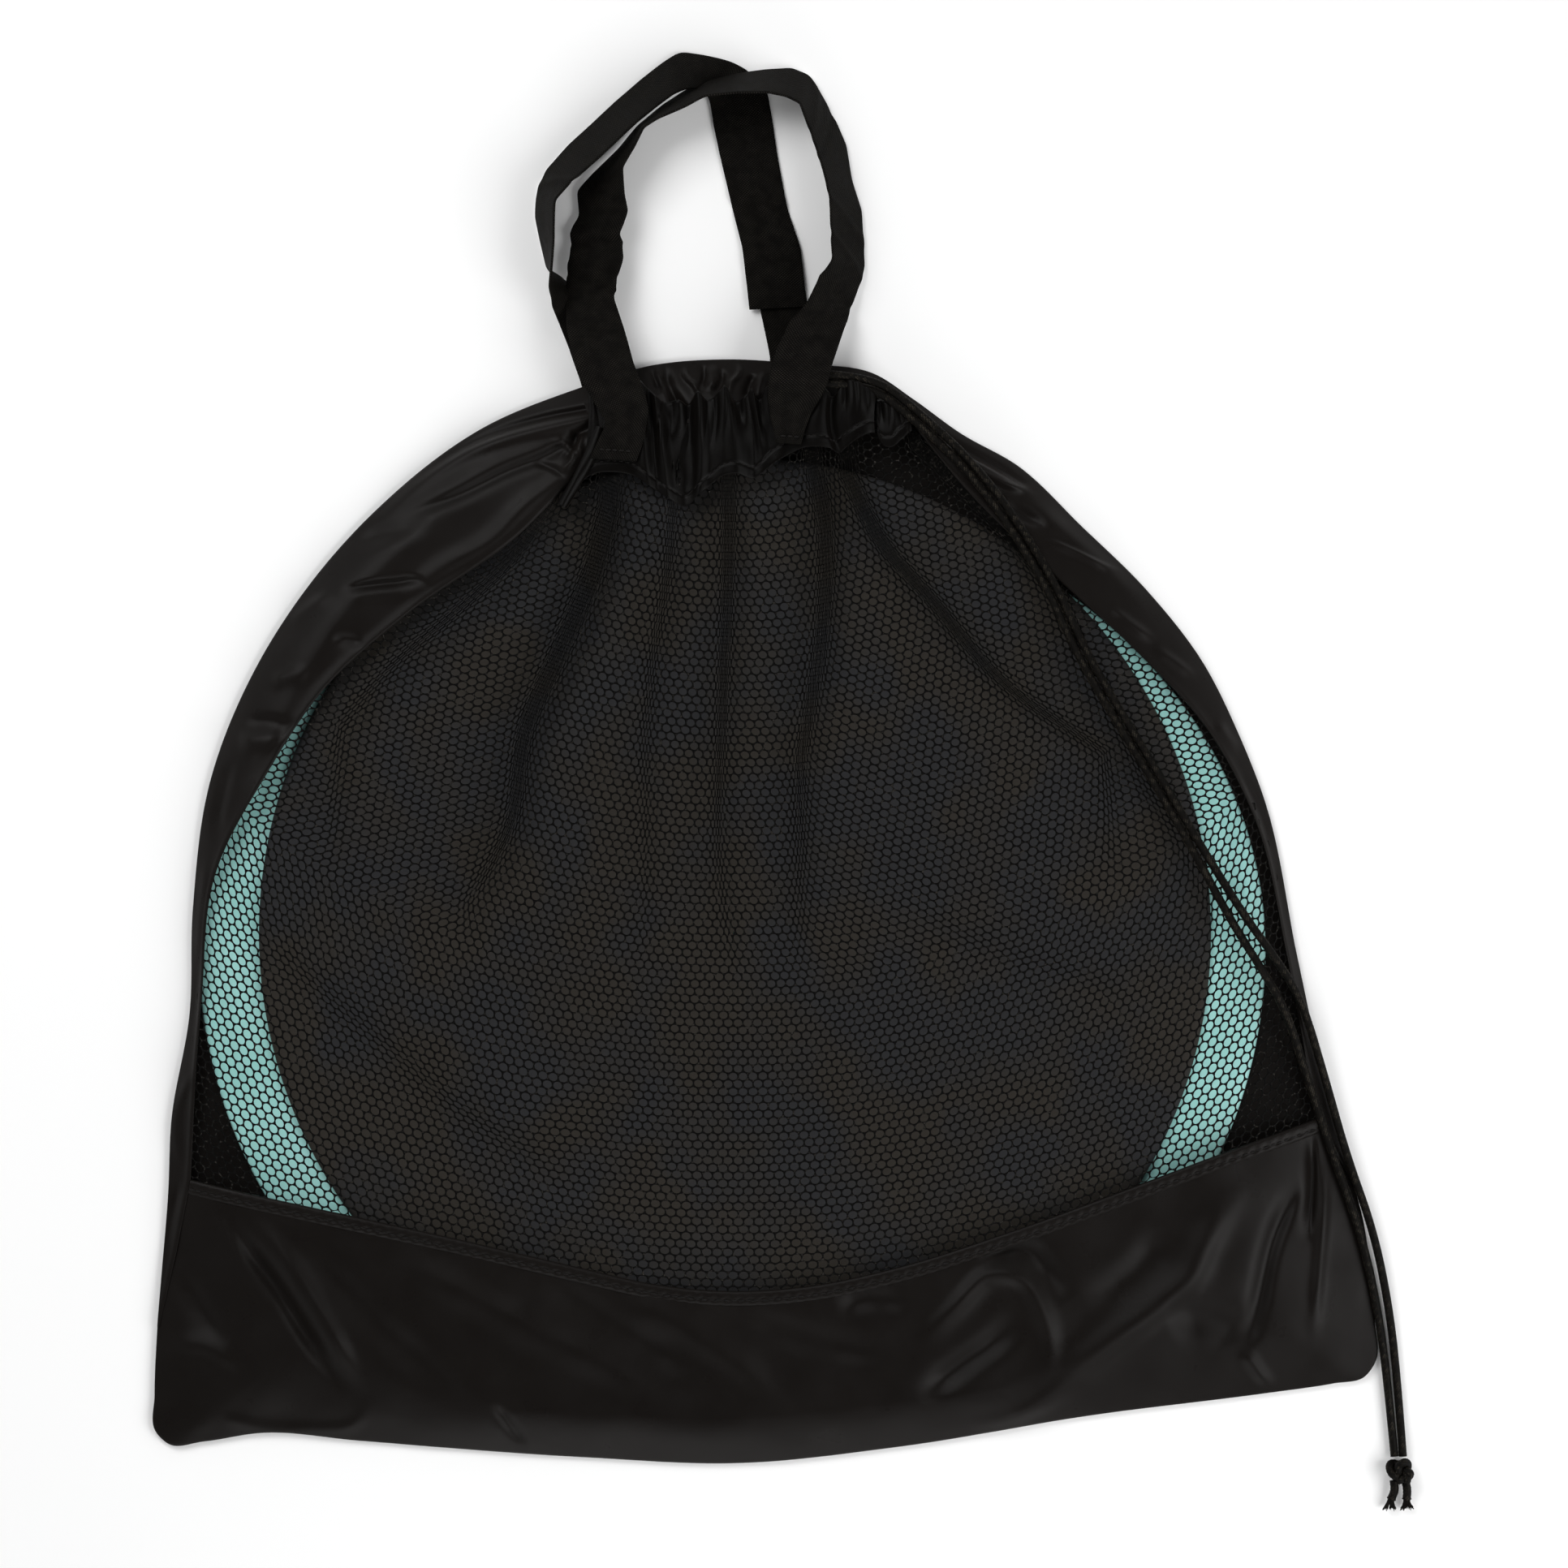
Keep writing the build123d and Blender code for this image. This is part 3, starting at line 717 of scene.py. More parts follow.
def disc(name, centre, radii, upper, height, folds, waves, bottom):
    """A flat round piece: rings out to a rounded rim that turns under."""
    share = np.concatenate([np.linspace(0.004, 0.985, 90), [0.992, 0.997, 1.0, 0.997, 0.985, 0.9]])
    drop = np.concatenate([np.zeros(90), [0.12, 0.35, 0.62, 0.88, 1.0, 1.0]])
    angle = np.linspace(0, 2 * math.pi, 361)
    s, a = np.meshgrid(share, angle, indexing="ij")
    x = centre[0] + radii[0] * s * np.cos(a)
    y = centre[1] + np.where(np.sin(a) > 0, upper, radii[1]) * s * np.sin(a)
    lift = (fold_height(x, y, folds) + waves * ripple(x, y, 26)) * (drop[:, None] == 0)
    z = height + lift - (height - bottom) * drop[:, None]
    return grid_mesh(name, x, y, z, flip=True)


teal = disc("contents_teal_cover", (-15.7, -85.0), (238.5, 227.0), 205.0, 2.6, TEAL_FOLDS, 0.12, 1.2)
finish_piece(teal, "teal", replaces=["contents_teal_disc"])
black = disc("contents_black_cover", (-14.3, -77.8), (212.5, 212.5), 212.5, 6.0, [], 0.25, 3.5)
finish_piece(black, "disc", replaces=["contents_black_disc"])

# ---------------------------------------------------------------- satin panels
CURL = [(0.0, 1.75), (0.8, 1.0), (2.6, 0.55), (7.0, 0.5)]  # inset and height where a panel turns under


def panel(name, inner, outer, columns, folds, replaces, waves=0.3, lip=0.55):
    """A satin panel from its seam to the outline, with a turned seam edge and a rolled outer edge."""
    gap = np.hypot(*(outer - inner).T)[:, None]
    share = np.linspace(0, 1, columns) ** 0.9
    share = np.clip(np.concatenate([[0.0], share]), 0, 1)[None, :]
    x = inner[:, :1] + (outer[:, :1] - inner[:, :1]) * share
    y = inner[:, 1:] + (outer[:, 1:] - inner[:, 1:]) * share
    depth = share * gap
    keep = ease(depth / 9.0 + 0.25) * (0.35 + 0.65 * ease((gap - depth) / 10.0))
    z = front_height(x, y) + keep * (fold_height(x, y, folds) + waves * ripple(x, y, 13))
    z += lip * (1 - ease(depth / 6.0)) + 0.25 * np.exp(-(((depth - 1.6) / 1.2) ** 2))
    z[:, 0] -= 1.1
    inward = np.array(CENTRE) - outer
    inward /= np.linalg.norm(inward, axis=1)[:, None]
    for inset, height in CURL:
        x = np.column_stack([x, outer[:, 0] + inward[:, 0] * inset])
        y = np.column_stack([y, outer[:, 1] + inward[:, 1] * inset])
        z = np.column_stack([z, np.full(len(outer), height)])
    piece = grid_mesh(name, x, y, z)
    return finish_piece(piece, replaces=replaces)


def chained(*lines, count):
    """Several lines end to end, as one line of evenly spaced points."""
    chain = np.vstack([np.asarray(line, float) for line in lines])
    run = np.concatenate([[0.0], np.cumsum(np.hypot(*np.diff(chain, axis=0).T))])
    keep = np.concatenate([[True], np.diff(run) > 1e-6])
    even = np.linspace(0, run[-1], count)
    return np.column_stack([np.interp(even, run[keep], chain[keep, k]) for k in range(2)])


LEFT_FOOT, RIGHT_FOOT = (-271.6, -254.0), (262.8, -192.0)
LEFT_TOP, RIGHT_TOP = (-80.0, 167.5), (52.0, 170.0)
LEFT_ROWS, RIGHT_ROWS, BASE_ROWS = 420, 380, 460
left_seam = smooth_line(LEFT_SEAM, 200)
left_inner = chained([LEFT_FOOT, (-264, -222)], left_seam, [(-78, 138), (-72, 151)], count=LEFT_ROWS)
left_outer = outline_part(LEFT_TOP, LEFT_FOOT, LEFT_ROWS)[::-1]
left_panel = panel(
    "side_panel_left_satin", left_inner[::-1], left_outer[::-1], 46, LEFT_FOLDS, ["side_panel_left"]
)
right_seam = smooth_line(RIGHT_SEAM, 200)
right_inner = chained([RIGHT_FOOT, (254, -176)], right_seam, [(56, 156)], count=RIGHT_ROWS)
right_outer = outline_part(RIGHT_FOOT, RIGHT_TOP, RIGHT_ROWS)
right_panel = panel(
    "side_panel_right_satin", right_inner[::-1], right_outer[::-1], 46, RIGHT_FOLDS, ["side_panel_right"]
)
base_inner = smooth_line(BASE_SEAM, BASE_ROWS)
base_outer = outline_part(LEFT_FOOT, RIGHT_FOOT, BASE_ROWS)
base_panel = panel(
    "base_panel_satin", base_inner[::-1], base_outer[::-1], 90, BASE_FOLDS, ["base_panel"], 0.45, 0.3
)

back_share = np.concatenate([np.linspace(0.02, 0.96, 60), [0.975, 0.985]])[:, None]
back_x = CENTRE[0] + (outline[::6, 0] - CENTRE[0]) * back_share
back_y = CENTRE[1] + (outline[::6, 1] - CENTRE[1]) * back_share
back_x = np.column_stack([back_x, back_x[:, :1]])
back_y = np.column_stack([back_y, back_y[:, :1]])
back_z = 0.62 + 0.22 * ripple(back_x, back_y, 22) + 0.12 * ripple(back_y, back_x, 8)
back_sheet = grid_mesh("back_panel_satin", back_x, back_y, back_z, flip=True)
finish_piece(back_sheet, replaces=["back_panel"])

# ---------------------------------------------------------------- base hem and stitches
THREAD_WIDTH = 0.42


def stitch_run(name, line, length, pitch, body="bag", width=THREAD_WIDTH):
    """A row of short raised stitches along a line of 3-D points."""
    total = np.linalg.norm(np.diff(line, axis=0), axis=1).sum()
    ends = np.linspace(-1, 1, 5)
    swell = np.sqrt(np.clip(1 - ends**2 * 0.92, 0.05, 1))
    turn = np.linspace(0, 2 * math.pi, 6, endpoint=False)
    fine = smooth_line(line, max(int(total / 0.4), 8))
    place = np.linspace(0, total, len(fine))
    points, faces = [], []
    for middle in np.arange(pitch / 2, total - pitch / 3, pitch):
        centre = np.array([np.interp(middle, place, fine[:, k]) for k in range(3)])
        ahead = np.array([np.interp(middle + length / 2, place, fine[:, k]) for k in range(3)])
        along = (ahead - centre) / max(np.linalg.norm(ahead - centre), 1e-6)
        side = np.cross(along, (0, 0, 1.0))
        side /= np.linalg.norm(side)
        base = len(points)
        for end, size in zip(ends, swell):
            dip = 0.14 * end * end
            for a in turn:
                rise = math.sin(a) * width * size * 0.8 - dip
                offset = side * math.cos(a) * width * size + np.array([0, 0, rise])
                points.append(centre + along * end * length / 2 + offset)
        faces.extend((grid_faces(5, 6, wrap=True) + base).tolist())
    piece = make_mesh(name, points, faces)
    return finish_piece(piece, "thread", body)


def offset_line(line, distance):
    """A plan line moved sideways, to its right."""
    along = np.gradient(line, axis=0)
    along /= np.hypot(*along.T)[:, None]
    return line + np.column_stack([along[:, 1], -along[:, 0]]) * distance


# The hem's section: distance below its upper edge, height over the bag
HEM_PROFILE = [
    (-0.5, -0.4), (-0.35, 0.5), (0.0, 0.95), (0.9, 1.2), (2.2, 1.2), (3.0, 1.0),
    (3.6, 0.7), (4.2, 0.95), (4.9, 0.95), (5.6, 0.5), (6.0, 0.15),
]
HEM_POINTS = 620
HEM_PUCKERS = 96
STITCH_LINE = 3.6
STITCH_LIFT = 0.95
hem_line = smooth_line(BASE_SEAM, HEM_POINTS)
hem_x, hem_y, hem_z = [], [], []
hem_run = np.linspace(0, 1, HEM_POINTS)
for across, height in HEM_PROFILE:
    moved = offset_line(hem_line, across)
    pucker = 0.16 * np.sin(hem_run * 2 * math.pi * HEM_PUCKERS + across) * (across > 1)
    hem_x.append(moved[:, 0])
    hem_y.append(moved[:, 1])
    hem_z.append(front_height(*moved.T) + height + pucker)
hem = grid_mesh("base_hem_fold", np.array(hem_x).T, np.array(hem_y).T, np.array(hem_z).T, flip=True)
finish_piece(hem, replaces=["base_hem"])
topstitch = offset_line(hem_line, STITCH_LINE)
topstitch = np.column_stack([topstitch, front_height(*topstitch.T) + STITCH_LIFT])
stitches_base = stitch_run("base_topstitch", topstitch, 2.6, 3.3)
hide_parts("base_hem_thread")

# ---------------------------------------------------------------- net
NET_PITCH = 4.25
NET_ROW = 3.4
YARN = 0.31  # half the width of a strand
YARN_CORNER = YARN * 1.15 + 0.26  # the same at a corner, where strands meet
GATHER = (-15.0, 250.0)
GATHER_RADIUS = 350.0
GATHER_SPAN = 500.0
NET_TOP = 13.9
# Gathers that run down from the casing: share of the spare cloth, width, plan points
NET_GATHERS = [
    (0.14, 3.0, [(-96, 116), (-114, 88), (-140, 64), (-166, 42), (-190, 14)]),
    (0.42, 3.4, [(-70, 112), (-76, 88), (-92, 48), (-106, 17), (-115, -32), (-133, -64)]),
    (0.08, 2.6, [(-42, 112), (-44, 84), (-50, 50), (-54, 10)]),
    (0.15, 2.6, [(-17, 125), (-17.5, 79), (-20, 20), (-21, -50), (-12, -108)]),
    (0.20, 3.4, [(20, 136), (26, 100), (25, 62), (15, 0)]),
    (0.20, 3.0, [(36, 126), (50, 98), (73, 71), (104, 35), (150, 3)]),
    (0.17, 2.6, [(66, 140), (95, 112), (119, 85), (143, 40), (166, -4), (188, -40)]),
]
# Bands across the net where its rows are drawn together: pull, width, plan points
NET_BANDS = [
    (3.6, 8.0, [
        (-232, -66), (-222, -78), (-196, -104), (-168, -128), (-140, -152), (-112, -172), (-80, -190)
    ]),
    (1.6, 3.0, [(150, 2), (172, -22), (190, -52), (204, -86)]),
    (1.8, 6.0, [(60, -60), (100, -84), (140, -96), (170, -110)]),
]


def gather_slope(reach, radius):
    """Cloth position across the bag, and how tightly it is gathered, at plan arcs of a radius."""
    share = radius / GATHER_RADIUS
    spare = max(1 - share, 0.0) * GATHER_SPAN
    cloth = reach / (1 + 0.3 * max(share - 1, 0.0))
    slope = np.ones_like(reach)
    for part, width, line in GATHER_LINES:
        middle = np.interp(radius, line[:, 0], line[:, 1])
        t = (reach - middle) / width
        cloth = cloth + part * spare * 0.5 * np.tanh(t)
        slope += part * spare * 0.5 / width / np.cosh(np.clip(t, -9, 9)) ** 2
    return cloth, slope


def polar_line(points):
    """A plan line as radius from the gather point and arc at that radius, in order of radius."""
    line = smooth_line(points, 60)
    dx, dy = line[:, 0] - GATHER[0], GATHER[1] - line[:, 1]
    radius = np.hypot(dx, dy)
    order = np.argsort(radius)
    return np.column_stack([radius, radius * np.arctan2(dx, dy)])[order]


GATHER_LINES = [(part, width, polar_line(points)) for part, width, points in NET_GATHERS]
REACH = np.linspace(-330, 330, 1500)


def net_plan(u, v):
    """Plan points and tightness of the net for cloth positions u across and v down."""
    reach, tight = np.empty(len(u)), np.empty(len(u))
    levels, which = np.unique(np.round(v, 4), return_inverse=True)
    order = np.argsort(which, kind="stable")
    stops = np.searchsorted(which[order], np.arange(len(levels) + 1))
    for k, radius in enumerate(levels):
        rows = order[stops[k]:stops[k + 1]]
        cloth, slope = gather_slope(REACH, radius)
        reach[rows] = np.interp(u[rows], cloth, REACH)
        tight[rows] = 1 - 1 / np.interp(reach[rows], REACH, slope)
    x = GATHER[0] + v * np.sin(reach / v)
    y = GATHER[1] - v * np.cos(reach / v)
    for pull, width, points in NET_BANDS:
        line = smooth_line(points, 30)
        offset, along = line_offset(x, y, line)
        run = np.gradient(line, axis=0)
        run /= np.hypot(*run.T)[:, None]
        at = along * (len(line) - 1)
        nx = -np.interp(at, np.arange(len(line)), run[:, 1])
        ny = np.interp(at, np.arange(len(line)), run[:, 0])
        fade = ease(along / 0.25) * ease((1 - along) / 0.25) * np.exp(-((offset / 45) ** 2))
        shift = pull * np.tanh(offset / width) * fade
        x, y = x - nx * shift, y - ny * shift
        tight = np.maximum(tight, 0.35 * fade / np.cosh(np.clip(offset / width, -9, 9)) ** 2)
    return x, y, tight


NET_TUCK = 0.8  # how far the net reaches in under the panels
net_top = [(58, 152), (47, 158), (0, 150), (-40, 140), (-80, 140)]
net_edge = np.vstack([
    smooth_line(BASE_SEAM, 60), smooth_line(RIGHT_SEAM, 60), net_top, smooth_line(LEFT_SEAM, 60)[::-1]
])
outward = net_edge - np.array(CENTRE)
net_edge = net_edge + outward / np.hypot(*outward.T)[:, None] * NET_TUCK
net_edge = np.vstack([net_edge, net_edge[:1]])
HEM_LINE_PLAN = [
    (-99, 122), (-93, 113), (-78, 126), (-60, 127), (-44, 116), (-36, 112), (-28, 119), (-15, 126),
    (-2, 127), (11, 134), (28, 136), (47, 145), (56, 138), (64, 146),
]


def inside(x, y, edge):
    """Which plan points a closed line goes round."""
    found = np.zeros(len(x), bool)
    for (x0, y0), (x1, y1) in zip(edge[:-1], edge[1:]):
        if y0 == y1:
            continue
        crosses = (y0 > y) != (y1 > y)
        found ^= crosses & (x < (x1 - x0) * (y - y0) / (y1 - y0) + x0)
    return found


net_rims = [net_edge, np.array(HEM_LINE_PLAN, float)]
cord_plans = [line[::12, :2] for line in cord_lines.values()]


def net_height(x, y, u, tight):
    """Height of the net: the bag's front, with ridges where it is gathered, flat at its edges and cords."""
    calm = np.ones(len(x))
    for line in net_rims:
        calm *= ease((np.abs(line_offset(x, y, line)[0]) - 2.5) / 9)
    for line in cord_plans:
        calm *= ease((np.abs(line_offset(x, y, line)[0]) - 3.0) / 10)
    waves = tight * (1.9 + 1.2 * np.sin(u * 2 * math.pi / 11))
    return np.minimum(front_height(x, y), NET_TOP) + calm * (waves + 0.35 * ripple(x, y, 30))


FIRST_ROW = 92.0
ROW_COUNT, HALF_COLUMNS = 138, 84
row_numbers = np.arange(ROW_COUNT)
column_numbers = np.arange(-HALF_COLUMNS, HALF_COLUMNS + 1)
net_rows, net_columns = [grid.ravel() for grid in np.meshgrid(row_numbers, column_numbers, indexing="ij")]
centre_u = (net_columns + 0.5 * (net_rows % 2)) * NET_PITCH
centre_v = FIRST_ROW + net_rows * NET_ROW
cell_x, cell_y, cell_tight = net_plan(centre_u, centre_v)
kept = inside(cell_x, cell_y, net_edge)
centre_u, centre_v = centre_u[kept], centre_v[kept]
cell_x, cell_y, cell_tight = cell_x[kept], cell_y[kept], cell_tight[kept]
# A hole's corners and side middles, anticlockwise from its lowest, as quarters of NET_PITCH across and
# sixths of NET_ROW down
half_ring = np.array([(0, 4), (1, 3), (2, 2), (2, 0), (2, -2), (1, -3)])
ring = np.vstack([half_ring, -half_ring])
ring_size = len(ring)
is_corner = np.isin(np.abs(ring[:, 1]), (2, 4))
key_u = np.round(4 * centre_u / NET_PITCH).astype(int)[:, None] + ring[:, 0]
key_v = np.round(6 * (centre_v - FIRST_ROW) / NET_ROW).astype(int)[:, None] + ring[:, 1]
keys, ring_index = np.unique(np.column_stack([key_u.ravel(), key_v.ravel()]), axis=0, return_inverse=True)
ring_index = ring_index.reshape(-1, ring_size)
rim_u, rim_v = keys[:, 0] * NET_PITCH / 4, keys[:, 1] * NET_ROW / 6 + FIRST_ROW
rim_x, rim_y, rim_tight = net_plan(rim_u, rim_v)
rim_z = net_height(rim_x, rim_y, rim_u, rim_tight)
away_x = rim_x[ring_index] - cell_x[:, None]
away_y = rim_y[ring_index] - cell_y[:, None]
reach_out = np.hypot(away_x, away_y)
strand = np.where(is_corner, YARN_CORNER, YARN)
opening = np.clip(1 - strand / np.maximum(reach_out, 0.05), 0.06, 1)
hole_x = cell_x[:, None] + away_x * opening
hole_y = cell_y[:, None] + away_y * opening
hole_u = centre_u[:, None] + (rim_u[ring_index] - centre_u[:, None]) * opening
hole_z = net_height(hole_x.ravel(), hole_y.ravel(), hole_u.ravel(), np.repeat(cell_tight, ring_size))
hole_z = hole_z.reshape(-1, ring_size)
NET_PARTS = 4
YARN_HEIGHT = 0.24
order = np.argsort(cell_x)
for part, cells in enumerate(np.array_split(order, NET_PARTS)):
    used, local = np.unique(ring_index[cells], return_inverse=True)
    local = local.reshape(-1, ring_size)
    rims, size = len(used), len(cells)
    rim_points = np.column_stack([rim_x[used], rim_y[used], rim_z[used]])
    hole_points = np.column_stack([hole_x[cells].ravel(), hole_y[cells].ravel(), hole_z[cells].ravel()])
    lift = np.array([0, 0, YARN_HEIGHT])
    points = np.vstack([rim_points + lift, rim_points - lift, hole_points])
    holes = 2 * rims + np.arange(size * ring_size).reshape(-1, ring_size)
    nxt = np.roll(np.arange(ring_size), -1)
    upper = np.stack([local, holes, holes[:, nxt], local[:, nxt]], axis=-1).reshape(-1, 4)
    lower = np.stack([local + rims, local[:, nxt] + rims, holes[:, nxt], holes], axis=-1).reshape(-1, 4)
    piece = make_mesh(f"mesh_panel_net_{part + 1}", points, np.vstack([upper, lower])[:, ::-1])
    finish_piece(piece, "net")
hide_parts("mesh_panel")

# ---------------------------------------------------------------- gathered casing
# Pleats of the casing's front: lower end x, y, z, middle x, z, upper end x, y, z
CASING_PLEATS = [
    (-84.5, 119, 15.4, -79.5, 17.2, -80, 170, 17.5), (-81.5, 123.5, 15.9, -77, 18.4, -79, 171, 18.5),
    (-77.8, 126, 16.5, -74, 18.8, -76, 172, 19), (-68, 127.2, 16.9, -66, 19.2, -68, 172, 19.4),
    (-57.6, 124.9, 16.8, -58, 19, -60, 171, 19.2), (-52.8, 121.6, 17.5, -54.5, 18.8, -56, 167, 17.8),
    (-48.6, 118.8, 15.9, -50.5, 16.2, -52, 163, 15.6), (-44.2, 116, 17.2, -46.6, 19.6, -49, 160, 18.9),
    (-39.6, 113.2, 15.2, -41.5, 15.6, -44.4, 157.5, 15.8),
    (-36.2, 111.9, 14.7, -37, 14.7, -39, 158.5, 17.4),
    (-33.6, 113.7, 15.4, -33.6, 14.9, -35.4, 156.5, 15.2),
    (-30.4, 117.2, 17.2, -29.6, 18.8, -31, 162.2, 19.2),
    (-26, 120.6, 16.8, -25.6, 17.4, -26.6, 158.5, 16.4),
    (-19.6, 125.6, 17.9, -19.2, 19, -20.6, 162.8, 19),
    (-12.4, 126.4, 18.3, -13.4, 19.3, -17.4, 163.6, 19.2),
    (-9.6, 125.2, 16.7, -9.6, 16.6, -14, 158, 15.4), (-6.4, 124.4, 15, -6.6, 14.9, -9.6, 160.5, 17.6),
    (-1.5, 127.4, 15.2, -3.8, 16.2, -6.6, 163.6, 18.9),
    (4.7, 132.2, 15.3, -0.4, 15.2, -3.6, 158.6, 15.8), (10.5, 135.4, 15.8, 4.5, 17.6, 0.5, 165, 18.4),
    (16.2, 138, 16.4, 12, 18.6, 9, 169, 19.2), (22.6, 138.5, 18.2, 21.4, 19.6, 20.4, 167, 19.4),
    (28, 137.8, 17.6, 25.9, 18.4, 26.6, 163, 18), (32.2, 135.8, 15, 28.8, 14.9, 29.4, 160, 15.2),
    (34.9, 138, 16.4, 31.5, 16.8, 31.6, 163, 17.2), (41, 142.4, 18.4, 37.8, 19.8, 36.4, 167.6, 19.6),
    (46.6, 144.6, 18, 45.4, 19.6, 45.6, 163.6, 19.6), (48, 144.6, 16.8, 47.6, 18.2, 48.6, 161, 17.6),
]
SIDE_FLAP_PLEATS = [
    (49.4, 142.6, 15.6, 48.8, 15.9, 49, 158.6, 15.8), (52.6, 138.6, 15.8, 50.8, 16.4, 51.5, 158.4, 16.4),
    (55.6, 138.4, 16.6, 54.6, 17.2, 55, 156.6, 16.8), (59.6, 141.6, 17, 58.6, 17.2, 58.6, 154.6, 16.6),
    (63.2, 144.8, 16.6, 62.6, 16.4, 62.4, 152.4, 15.6), (64.4, 145.8, 15.2, 64, 15.2, 63.8, 151.6, 14.8),
]
HEM_DEPTH = 5.0
RUFFLE_PITCH = 6.1


def pleated(name, pleats, columns, rows, replaces):
    """Gathered cloth between its hem and its gathered edge, with a stitched hem and a rolled top."""
    across = smooth_line(pleats, columns)
    share = np.linspace(0, 1, rows)[None, :]

    def through(low, middle, high):
        low, middle, high = low[:, None], middle[:, None], high[:, None]
        ends = low * (1 - share) * (1 - 2 * share) + high * share * (2 * share - 1)
        return ends + 4 * middle * share * (1 - share)

    x = through(across[:, 0], across[:, 3], across[:, 5])
    y = across[:, 1:2] + (across[:, 6:7] - across[:, 1:2]) * share
    z = through(across[:, 2], across[:, 4], across[:, 7])
    up_hem = y - across[:, 1:2]
    hem_band = ease(up_hem / 1.2) * ease((HEM_DEPTH - up_hem) / 1.2)
    z += 0.12 * hem_band - 0.4 * np.exp(-(((up_hem - HEM_DEPTH) / 0.5) ** 2))
    run = x - across[:, :1].min()
    drift = 0.35 * np.sin(run / 5.0) + 0.25 * np.sin(y / 9.0)
    ruffle = np.abs(np.sin(math.pi * (run / RUFFLE_PITCH + drift)))
    ridge = np.abs(np.sin(math.pi * (run / 9.7 + 0.3 * np.sin(y / 13.0 + run / 11.0))))
    gathered = ease((share - 0.35) / 0.45)
    z += gathered * (0.8 * (ruffle - 0.65) + 1.3 * (ridge - 0.65)) + 0.25 * ripple(x, y, 7)
    seam_line = np.column_stack([
        [np.interp(HEM_DEPTH, up_hem[k], grid[k]) for k in range(columns)] for grid in (x, y, z)
    ])
    x = np.column_stack([x[:, 0], x, x[:, -1], x[:, -1], x[:, -1]])
    y = np.column_stack([y[:, 0] + 0.3, y, y[:, -1] + 0.9, y[:, -1] + 0.6, y[:, -1] - 1.2])
    z = np.column_stack([z[:, 0] - 1.2, z, z[:, -1] - 0.9, z[:, -1] - 3.0, z[:, -1] - 5.5])
    # The gathered cloth takes the darker satin: painted shade for its deep pleats.
    finish_piece(grid_mesh(name, x, y, z, flip=True), "gathered", replaces=replaces)
    return stitch_run(f"{name}_stitches", seam_line + np.array([0, 0, 0.12]), 2.0, 2.9, width=0.3)


casing_stitches = pleated("casing_front_ruffle", CASING_PLEATS, 520, 70, ["casing_front"])
pleated("casing_side_flap", SIDE_FLAP_PLEATS, 80, 30, [])
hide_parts("casing_thread")
back_inner = chained([(60, 150), (-78, 149)], count=300)
back_outer = outline_part((60, 164.5), (-84, 165.5), 300)
panel("casing_back_gathers", back_inner, back_outer, 50, BACK_CASING_FOLDS, ["casing_back"], waves=0.7)


def rolled_edge(name, line, radii, turns=18):
    """A hollow rolled edge of cloth along a line."""
    count = 60
    line = smooth_line(line, count)
    side, up = tube_frames(line)
    size = np.interp(np.linspace(0, 1, count), np.linspace(0, 1, len(radii)), radii)[:, None]
    angle = np.linspace(0, 2 * math.pi, turns)[None, :]
    wobble = 1 + 0.06 * np.sin(3 * angle + np.linspace(0, 7, count)[:, None])
    grids = []
    for k in range(3):
        around = np.cos(angle) * side[:, k:k + 1] + np.sin(angle) * up[:, k:k + 1]
        grids.append(line[:, k:k + 1] + size * wobble * around)
    # The roll takes the darker satin: painted shade, as on the casing.
    return finish_piece(grid_mesh(name, *grids), "gathered")


ROLL_LINE = [(-74, 147, 16.5), (-78, 136, 17), (-84.5, 123.5, 16.6), (-91, 112.4, 15.8)]
rolled_edge("casing_left_roll", ROLL_LINE, [3.0, 2.8, 2.5, 2.6])

# ---------------------------------------------------------------- handles
STRAP_THICK = 0.6
STRAP_WIDTH = 25
